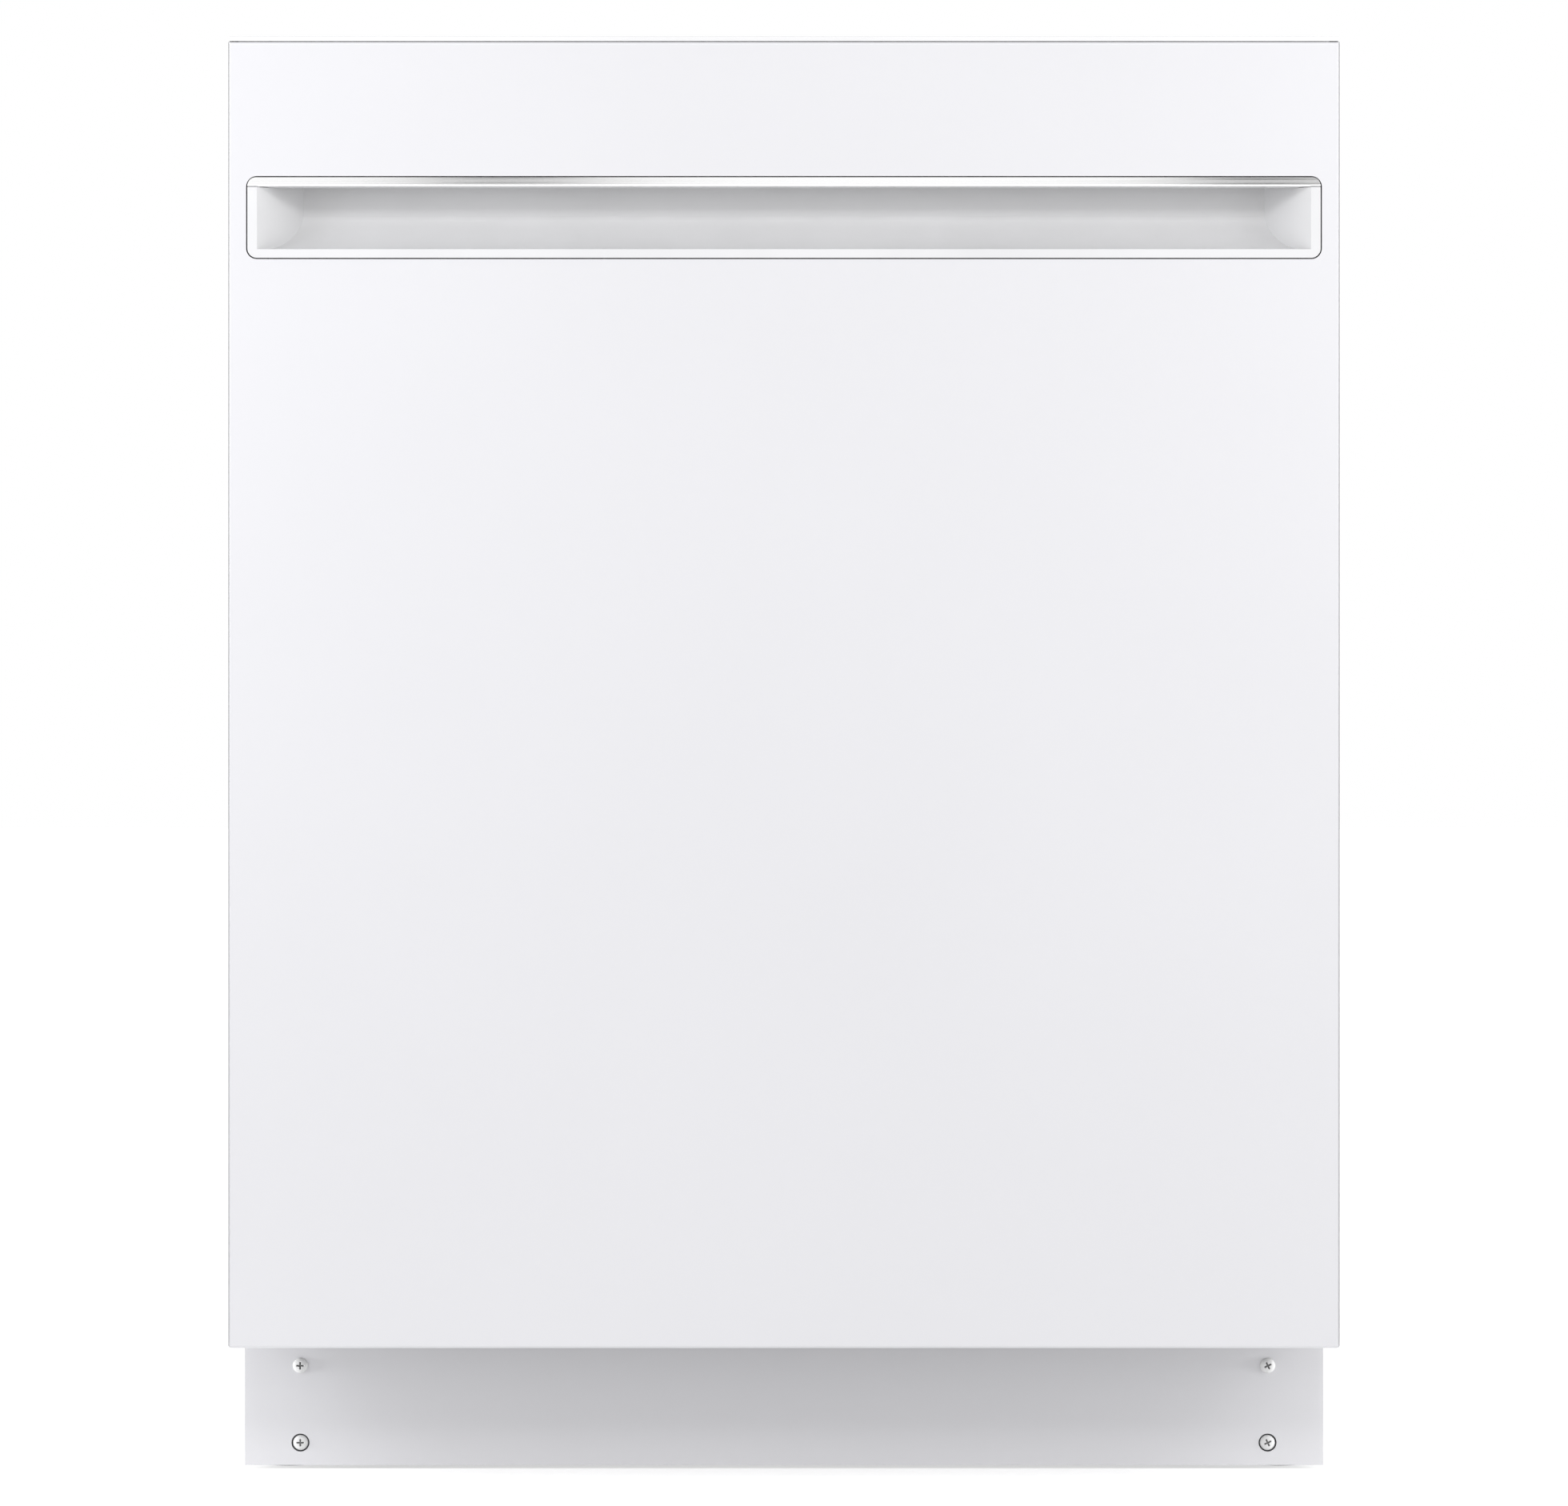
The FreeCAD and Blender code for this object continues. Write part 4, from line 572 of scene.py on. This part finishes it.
def kick_screws():
    """Four pan-head screws with a cross recess, whose deepest faces are painted dark grey as painted shade.
    The lower two sit on dark washers in clearance holes; the washers' black rubber is painted shade for the
    deep holes.
    """
    low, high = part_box("kick_screws")
    head, deep = 4.25 * MM, 2.2 * MM
    rows, steps = 26, 96
    bm, shade_rings = bmesh.new(), bmesh.new()
    for side, turn in ((-1, 0.0), (1, RIGHT_SCREW_TURN)):
        for z, back in ((high.z - head, 0.0), (low.z + head, 1.2 * MM)):
            centre = Vector((side * SCREW_X, low.y + deep + back, z))
            rings = []
            for i in range(rows + 1):
                r = head * math.sin(math.pi / 2 * i / rows)
                rings.append([])
                for k in range(steps):
                    angle = 2 * math.pi * k / steps
                    x, up = r * math.cos(angle), r * math.sin(angle)
                    tall = deep * math.sqrt(max(0.0, 1 - (r / head) ** 2.6)) - recess(x, up, turn)
                    rings[-1].append(bm.verts.new(centre + Vector((x, -max(tall, 0.0), up))))
            tip = bm.verts.new(centre + Vector((0, -deep + RECESS_DEPTH, 0)))
            bmesh.ops.delete(bm, geom=rings[0], context="VERTS")
            for k in range(steps):
                bm.faces.new((tip, rings[1][(k + 1) % steps], rings[1][k]))
                for one, other in zip(rings[1:], rings[2:]):
                    bm.faces.new((one[k], one[(k + 1) % steps], other[(k + 1) % steps], other[k]))
            under = bm.verts.new(centre)
            for k in range(steps):
                bm.faces.new((under, rings[-1][k], rings[-1][(k + 1) % steps]))
            if back:
                # A dark rubber ring under each lower head: painted shade for the deep clearance hole round
                # it.
                drum(shade_rings, centre, centre - Vector((0, 0.35 * MM, 0)), 4.9 * MM, 48)
    heads = piece("kick_screw_heads", finished(bm, "screws"), "screw_white", "chassis", ["kick_screws"])
    # Faces deep in the cross recess get a dark grey: painted shade in the recess.
    heads.data.materials.append(moulded("screw_recess_shade", (0.20, 0.20, 0.20), 0.6))
    for face in heads.data.polygons:
        spot = face.center
        turn = 0.0 if spot.x < 0 else RIGHT_SCREW_TURN
        centre_z = high.z - head if spot.z > (low.z + high.z) / 2 else low.z + head
        if recess(spot.x - math.copysign(SCREW_X, spot.x), spot.z - centre_z, turn) > 0.5 * MM:
            face.material_index = 1
    # The rings' black rubber is painted shade in the clearance holes.
    washers = piece("kick_screw_shade_washers", finished(shade_rings, "washers", smooth=False), "seal_rubber", "chassis")
    soften(washers, 0.12 * MM, 2)


def recess(x, up, turn):
    """How deep the cross recess is at a point of a screw's head."""
    a = abs(x * math.cos(turn) + up * math.sin(turn))
    b = abs(up * math.cos(turn) - x * math.sin(turn))
    along, across = max(a, b), min(a, b)
    inside = (1 - smooth(across, 0.30 * MM, 0.48 * MM)) * (1 - smooth(along, 1.8 * MM, 2.1 * MM))
    return RECESS_DEPTH * inside


# ================================================================ springs


def springs():
    """Close-wound balance springs. Each stretches between its anchor on the frame and the hinge's link."""
    low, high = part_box("door_springs")
    turns, coil, gauge = 74, 4.0 * MM, 0.85 * MM
    height = (low.z + high.z) / 2
    front, rear = low.y + 4.6 * MM, high.y - 15.6 * MM
    for name, x in (("left", low.x + 5 * MM), ("right", high.x - 5 * MM)):
        path = [Vector((x, low.y, height)), Vector((x, front - 1.5 * MM, height))]
        steps = turns * 14
        for n in range(steps + 1):
            angle = 2 * math.pi * turns * n / steps
            path.append(Vector((x + coil * math.sin(angle), front + (rear - front) * n / steps,
                                height + coil * math.cos(angle))))
        path += [Vector((x, rear + 1.5 * MM, height)), Vector((x, high.y, height))]
        bm = bmesh.new()
        tube(bm, path, gauge, 8)
        made = piece(f"{name}_spring", finished(bm, "spring"), "spring_steel", None)
        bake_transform(made)
        if name == "left":
            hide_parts("door_springs")


# ================================================================ silverware basket and door seal


def silverware():
    """A moulded basket: slatted walls between bands, two dividers, a grid floor and a carrying handle."""
    low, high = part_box("silverware_basket")
    wall, band, top = 2.4 * MM, 11 * MM, high.z - 20 * MM
    slat, bar = 1.7 * MM, 1.4 * MM
    near, far = low.y + 1 * MM, high.y - 1 * MM
    left, right = low.x + 1 * MM, high.x - 1 * MM
    bm = bmesh.new()
    dividers = [near + (far - near) * k / 3 for k in (1, 2)]
    for level, tall in ((low.z, band), ((low.z + top) / 2 - 3 * MM, 6 * MM), (top - band, band)):
        for y in (near, far - wall):
            block(bm, (left + 6 * MM, y, level), (right - 6 * MM, y + wall, level + tall))
        for x in (left, right - wall):
            block(bm, (x, near + 6 * MM, level), (x + wall, far - 6 * MM, level + tall))
        for y in dividers:
            block(bm, (left + 1 * MM, y - wall / 2, level), (right - 1 * MM, y + wall / 2, level + tall))
        for x, y, turn in ((left, near, 0), (right, near, 1), (right, far, 2), (left, far, 3)):
            corner(bm, (x, y), turn, 7 * MM, wall, level, level + tall)
    for y in spread_out(near + 11 * MM, far - 11 * MM, 27):
        for x in (left + 0.3 * MM, right - wall + 0.3 * MM):
            block(bm, (x, y - slat, low.z + 2 * MM), (x + wall - 0.6 * MM, y + slat, top - 2 * MM))
        block(bm, (left + 1 * MM, y - bar, low.z + 0.2 * MM), (right - 1 * MM, y + bar, low.z + 2.6 * MM))
    for x in spread_out(left + 11 * MM, right - 11 * MM, 7):
        for y in (near + 0.3 * MM, far - wall + 0.3 * MM, *(d - wall / 2 + 0.3 * MM for d in dividers)):
            block(bm, (x - slat, y, low.z + 2 * MM), (x + slat, y + wall - 0.6 * MM, top - 2 * MM))
        block(bm, (x - bar, near + 1 * MM, low.z + 0.4 * MM), (x + bar, far - 1 * MM, low.z + 2.9 * MM))
    made = piece("silverware_cage", finished(bm, "cage", smooth=False), "grey_plastic", "silverware_basket",
                 ["silverware_basket"])
    soften(made, 0.55 * MM, 2)

    bm = bmesh.new()
    middle, grip = (left + right) / 2, high.z - 4.2 * MM
    path = rounded([(middle, dividers[0], top - 8 * MM), (middle, dividers[0] + 8 * MM, grip),
                    (middle, dividers[1] - 8 * MM, grip), (middle, dividers[1], top - 8 * MM)], 12 * MM, 8)
    tube(bm, path, 4.0 * MM, 16)
    rim = [(left + 1 * MM, near + 1 * MM, top), (right - 1 * MM, near + 1 * MM, top),
           (right - 1 * MM, far - 1 * MM, top), (left + 1 * MM, far - 1 * MM, top)]
    tube(bm, rounded(rim, 7 * MM, 7, closed=True), 1.9 * MM, 12, closed=True)
    piece("silverware_handle", finished(bm, "handle"), "grey_plastic", "silverware_basket")


def corner(bm, tip, turn, radius, wall, low, high):
    """A rounded corner of a moulded wall: a quarter of a ring."""
    ways = ((1, 1), (-1, 1), (-1, -1), (1, -1))[turn]
    centre = (tip[0] + ways[0] * radius, tip[1] + ways[1] * radius)
    rings = []
    for k in range(9):
        angle = math.pi / 2 * k / 8
        out = (-ways[0] * math.cos(angle), -ways[1] * math.sin(angle))
        section = ((radius, low), (radius, high), (radius - wall, high), (radius - wall, low))
        rings.append([bm.verts.new((centre[0] + out[0] * r, centre[1] + out[1] * r, z)) for r, z in section])
    for one, other in zip(rings, rings[1:]):
        for k in range(4):
            bm.faces.new((one[k], one[(k + 1) % 4], other[(k + 1) % 4], other[k]))
    bm.faces.new(rings[0])
    bm.faces.new(reversed(rings[-1]))


def door_seal():
    """The extruded seal round the tub's mouth: a flat base with a tall outer bead and a lower inner lip."""
    low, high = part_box("tub_gasket")
    half, foot, top = 279.2 * MM, low.z + 0.2 * MM, high.z - 4.2 * MM
    path = rounded([(-half, high.y, foot), (-half, high.y, top), (half, high.y, top), (half, high.y, foot)],
                   12.5 * MM, 12)
    # Across the seal and outward from the collar, in millimetres.
    profile = [(-4.0, 0.02), (-4.1, 0.9), (-3.8, 2.0), (-3.0, 2.9), (-2.0, 3.2), (-1.0, 2.9), (-0.3, 2.0),
               (0.1, 1.0), (0.6, 0.8), (1.3, 1.0), (1.8, 1.8), (2.5, 2.3), (3.2, 2.1), (3.8, 1.3), (4.0, 0.6),
               (4.0, 0.02)]
    bm = bmesh.new()
    rings = []
    outward = Vector((0, -1, 0))
    for n, point in enumerate(path):
        along = (path[min(n + 1, len(path) - 1)] - path[max(n - 1, 0)]).normalized()
        side = along.cross(outward)
        rings.append([bm.verts.new(point - side * (u * MM) + outward * (v * MM)) for u, v in profile])
    for one, other in zip(rings, rings[1:]):
        for k in range(len(profile)):
            m = (k + 1) % len(profile)
            bm.faces.new((one[k], one[m], other[m], other[k]))
    bm.faces.new(rings[0])
    bm.faces.new(reversed(rings[-1]))
    piece("door_seal", finished(bm, "door_seal"), "seal_rubber", "chassis", ["tub_gasket"])


# ================================================================ sound blanket


def smooth(value, start, end):
    """0 before the start, 1 past the end and an S-curve between them."""
    t = min(max((value - start) / (end - start), 0.0), 1.0)
    return t * t * (3 - 2 * t)


def slab(bm, outer, inner):
    """A closed pad between two grids of points of the same size."""
    tops = [[bm.verts.new(p) for p in row] for row in outer]
    lows = [[bm.verts.new(p) for p in row] for row in inner]
    rows, columns = len(tops), len(tops[0])
    for i in range(rows - 1):
        for j in range(columns - 1):
            bm.faces.new((tops[i][j], tops[i][j + 1], tops[i + 1][j + 1], tops[i + 1][j]))
            bm.faces.new((lows[i][j], lows[i + 1][j], lows[i + 1][j + 1], lows[i][j + 1]))
    rim = ([(0, j) for j in range(columns)] + [(i, columns - 1) for i in range(1, rows)]
           + [(rows - 1, j) for j in range(columns - 2, -1, -1)] + [(i, 0) for i in range(rows - 2, 0, -1)])
    for (i, j), (k, m) in zip(rim, rim[1:] + rim[:1]):
        bm.faces.new((tops[i][j], lows[i][j], lows[k][m], tops[k][m]))


TUFT_COLUMNS = (-0.19, 0.0, 0.19)
TUFT_ROWS = (0.22, 0.44, 0.66)


def rolled(edge, width):
    """How full a pad is at a distance from its edge: 0 at the edge, a quarter round, then 1."""
    return math.sqrt(max(0.0, 1 - (1 - min(edge / width, 1.0)) ** 2))


def lumpy(spot, broad, fine):
    """Unevenness of stuffed felt: a broad swell and a finer one."""
    return broad * (0.5 + 0.5 * noise.noise(spot)) + fine * (0.5 + 0.5 * noise.noise(spot * 4.7))


class Wrap:
    """The felt over the tub's sides and top. s is a distance along its cross-section, y a depth."""

    half, foot, top, bend = 273.4 * MM, 146 * MM, 758.4 * MM, 27.4 * MM
    front, back = -222 * MM, 288 * MM
    straps = (-140 * MM, 205 * MM)
    thinnest = 4.2 * MM

    def __init__(self):
        self.side = self.top - self.bend - self.foot
        self.arc = self.bend * math.pi / 2
        self.flat = 2 * (self.half - self.bend)
        self.long = 2 * (self.side + self.arc) + self.flat

    def inside(self, s):
        """The point of the tub's outer face at a distance along it, and the way out of the tub there."""
        if s > self.long / 2:
            x, z, out, up = self.inside(self.long - s)
            return -x, z, -out, up
        if s < self.side:
            return -self.half, self.foot + s, -1.0, 0.0
        if s < self.side + self.arc:
            turn = (s - self.side) / self.bend
            out, up = -math.cos(turn), math.sin(turn)
            return (-self.half + self.bend + self.bend * out, self.top - self.bend + self.bend * up, out, up)
        return -self.half + self.bend + (s - self.side - self.arc), self.top, 0.0, 1.0

    def thick(self, s, y, strapped=False):
        """Full in the middle, rolled down at the edges, pressed in under the straps, a little lumpy."""
        _, _, out, _ = self.inside(s)
        full = 19.4 * MM + 4.0 * MM * smooth(abs(out), 0.2, 1.0)
        edge = min(s, self.long - s, y - self.front, self.back - y)
        lump = lumpy(Vector((s * 9, y * 9, 0.7)), 2.6 * MM, 0.9 * MM)
        press = max(1 - smooth(abs(y - at), 12 * MM, 30 * MM) for at in self.straps)
        if strapped:
            press, lump = 1.0, lump * 0.4
        sag = lump * (1 - 0.6 * press) + 6.2 * MM * press
        return self.thinnest + max(full - self.thinnest - sag, 0.0) * rolled(edge, 17 * MM)

    def point(self, s, y, height):
        """The point at a height above the tub's outer face."""
        x, z, out, up = self.inside(s)
        return Vector((x + out * height, y, z + up * height))


def blanket():
    """The felt wrap and the back pad with their washers, and two straps round the wrap."""
    wrap = Wrap()
    stops = [wrap.long * n / 300 for n in range(301)]
    depths = spread_out(wrap.front, wrap.back, 121)
    bm = bmesh.new()
    slab(bm, [[wrap.point(s, y, wrap.thick(s, y)) for y in depths] for s in stops],
         [[wrap.point(s, y, 0.0) for y in depths] for s in stops])
    made = piece("blanket_wrap", finished(bm, "blanket_wrap"), "felt", "chassis", ["sound_blanket"])

    bm = bmesh.new()
    low, high, back = (-268 * MM, 112 * MM), (268 * MM, 776 * MM), 288.4 * MM
    xs, zs = spread_out(low[0], high[0], 110), spread_out(low[1], high[1], 134)
    outer = []
    for x in xs:
        row = []
        for z in zs:
            edge = min(x - low[0], high[0] - x, z - low[1], high[1] - z)
            lump = lumpy(Vector((x * 9, z * 9, 4.1)), 2.4 * MM, 0.8 * MM)
            tuft = sum(math.exp(-((x - a) ** 2 + (z - b) ** 2) / (17 * MM) ** 2)
                       for a in TUFT_COLUMNS for b in TUFT_ROWS)
            full = max(12.4 * MM - lump - 7.5 * MM * tuft, 0.0)
            row.append(Vector((x, back + 4 * MM + full * rolled(edge, 15 * MM), z)))
        outer.append(row)
    slab(bm, outer, [[Vector((x, back, z)) for z in zs] for x in xs])
    made = piece("blanket_back", finished(bm, "blanket_back"), "felt", "chassis")

    bm = bmesh.new()
    for a in TUFT_COLUMNS:
        for b in TUFT_ROWS:
            drum(bm, (a, back + 7.6 * MM, b), (a, back + 9.4 * MM, b), 8 * MM, 40)
    pins = piece("blanket_washers", finished(bm, "washers", smooth=False), "galvanised", "chassis")
    soften(pins, 0.6 * MM)

    for label, at in zip(("front", "rear"), wrap.straps):
        bm = bmesh.new()
        half = 11 * MM
        across = spread_out(-half, half, 9)
        edges = [0.35 * MM * (abs(a) / half) ** 4 for a in across]
        inner, outer = [], []
        for s in stops:
            base = wrap.thick(s, at, strapped=True)
            outer.append([wrap.point(s, at + a, base + 1.5 * MM - e) for a, e in zip(across, edges)])
            inner.append([wrap.point(s, at + a, base + 0.45 * MM) for a in across])
        slab(bm, outer, inner)
        piece(f"blanket_strap_{label}", finished(bm, "strap"), "black_plastic", "chassis")


# ================================================================ stage


CAMERA_DISTANCE, CAMERA_HEIGHT, CAMERA_LENS = 3.5, 0.3965, 148.1
CARD_Y = -3.85


def camera():
    """Square to the door, at the height and distance that give the door's edges their perspective."""
    low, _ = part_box("door_outer_panel")
    data = bpy.data.cameras.new("camera")
    data.sensor_width, data.lens = 36.0, CAMERA_LENS
    made = bpy.data.objects.new("camera", data)
    made.location = (0, low.y - CAMERA_DISTANCE, CAMERA_HEIGHT)
    made.rotation_euler = (math.radians(90), 0, 0)
    bpy.context.scene.collection.objects.link(made)
    bpy.context.scene.camera = made


def area(name, place, aim, size, power, colour=(1, 1, 1)):
    """A rectangular lamp that the camera doesn't see."""
    data = bpy.data.lights.new(name, "AREA")
    data.shape, data.size, data.size_y = "RECTANGLE", *size
    data.energy, data.color = power, colour
    made = bpy.data.objects.new(name, data)
    made.location = place
    made.rotation_euler = (Vector(aim) - Vector(place)).to_track_quat("-Z", "Y").to_euler()
    made.visible_camera = False
    bpy.context.scene.collection.objects.link(made)


def board(name, corners, grey):
    """A flat grey board out of the camera's sight, put on the stage and not on the object."""
    made = Finish(name, (grey, grey, grey), 1.0, Specular_IOR_Level=0.0)
    made.tint(made.spread(made.noise(0.8), 0.0, 1.0), (grey * 0.9,) * 3)
    bm = bmesh.new()
    bm.faces.new([bm.verts.new(c) for c in corners])
    sheet = bpy.data.objects.new(name, finished(bm, name, smooth=False))
    sheet.data.materials.append(made.material)
    sheet.visible_camera = False
    bpy.context.scene.collection.objects.link(sheet)
    return sheet


def card(name, left, right, grey):
    """A tall card behind the camera's place, for the polished trim to reflect. It takes no light away."""
    corners = ((left, 0.05), (right, 0.05), (right, 2.6), (left, 2.6))
    sheet = board(name, [(x, CARD_Y, z) for x, z in corners], grey)
    sheet.visible_diffuse = sheet.visible_shadow = False


def flag(name, side):
    """A narrow strip close beside the shut door, which keeps the side light off its rounded edge."""
    low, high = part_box("door_outer_panel")
    x = side * (high.x + 0.9 * MM)
    front, back = low.y - 0.2 * MM, low.y + 2.0 * MM
    corners = ((front, low.z), (back, low.z), (back, high.z), (front, high.z))
    board(name, [(x, y, z) for y, z in corners], 0.05)


def floor_and_light():
    """A pale floor under an even white sky, a high key, soft boxes beside the door, and the boards."""
    bpy.context.scene.view_settings.view_transform = "Standard"
    world = bpy.data.worlds.new("studio")
    world.use_nodes = True
    background = world.node_tree.nodes["Background"].inputs
    background["Color"].default_value = (1.0, 1.0, 1.0, 1)
    background["Strength"].default_value = 1.0
    bpy.context.scene.world = world

    paper = Finish("paper", (0.58, 0.58, 0.58), 0.9, Specular_IOR_Level=0.1, Emission_Strength=0.52)
    paper.set("Emission Color", (1, 1, 1, 1))
    paper.tint(paper.spread(paper.noise(1.5), 0.0, 1.0), (0.595, 0.595, 0.595))
    bm = bmesh.new()
    bmesh.ops.create_grid(bm, x_segments=2, y_segments=2, size=30.0)
    floor = bpy.data.objects.new("floor", finished(bm, "floor"))
    floor.data.materials.append(paper.material)
    bpy.context.scene.collection.objects.link(floor)

    area("left_box", (-0.80, -0.56, 0.72), (-0.12, -0.30, 0.50), (0.3, 0.7), 2.9, (0.95, 0.965, 1.0))
    area("right_box", (0.82, -0.56, 0.76), (0.12, -0.30, 0.54), (0.3, 0.7), 2.55, (0.98, 0.985, 1.0))
    area("key_box", (0, -2.6, 1.9), (0, -0.3, 0.40), (1.5, 0.6), 22)
    area("left_low", (-0.62, -0.275, 0.045), (0, -0.23, 0.04), (0.06, 0.07), 1.2)
    area("right_low", (0.62, -0.275, 0.045), (0, -0.23, 0.04), (0.06, 0.07), 1.0)
    card("left_card", -0.385, -0.225, 0.23)
    card("right_card", 0.446, 0.60, 0.18)
    flag("left_flag", -1)
    flag("right_flag", 1)


dress_cad()
lower_rack()
upper_rack()
kick_screws()
springs()
silverware()
door_seal()
blanket()
camera()
floor_and_light()
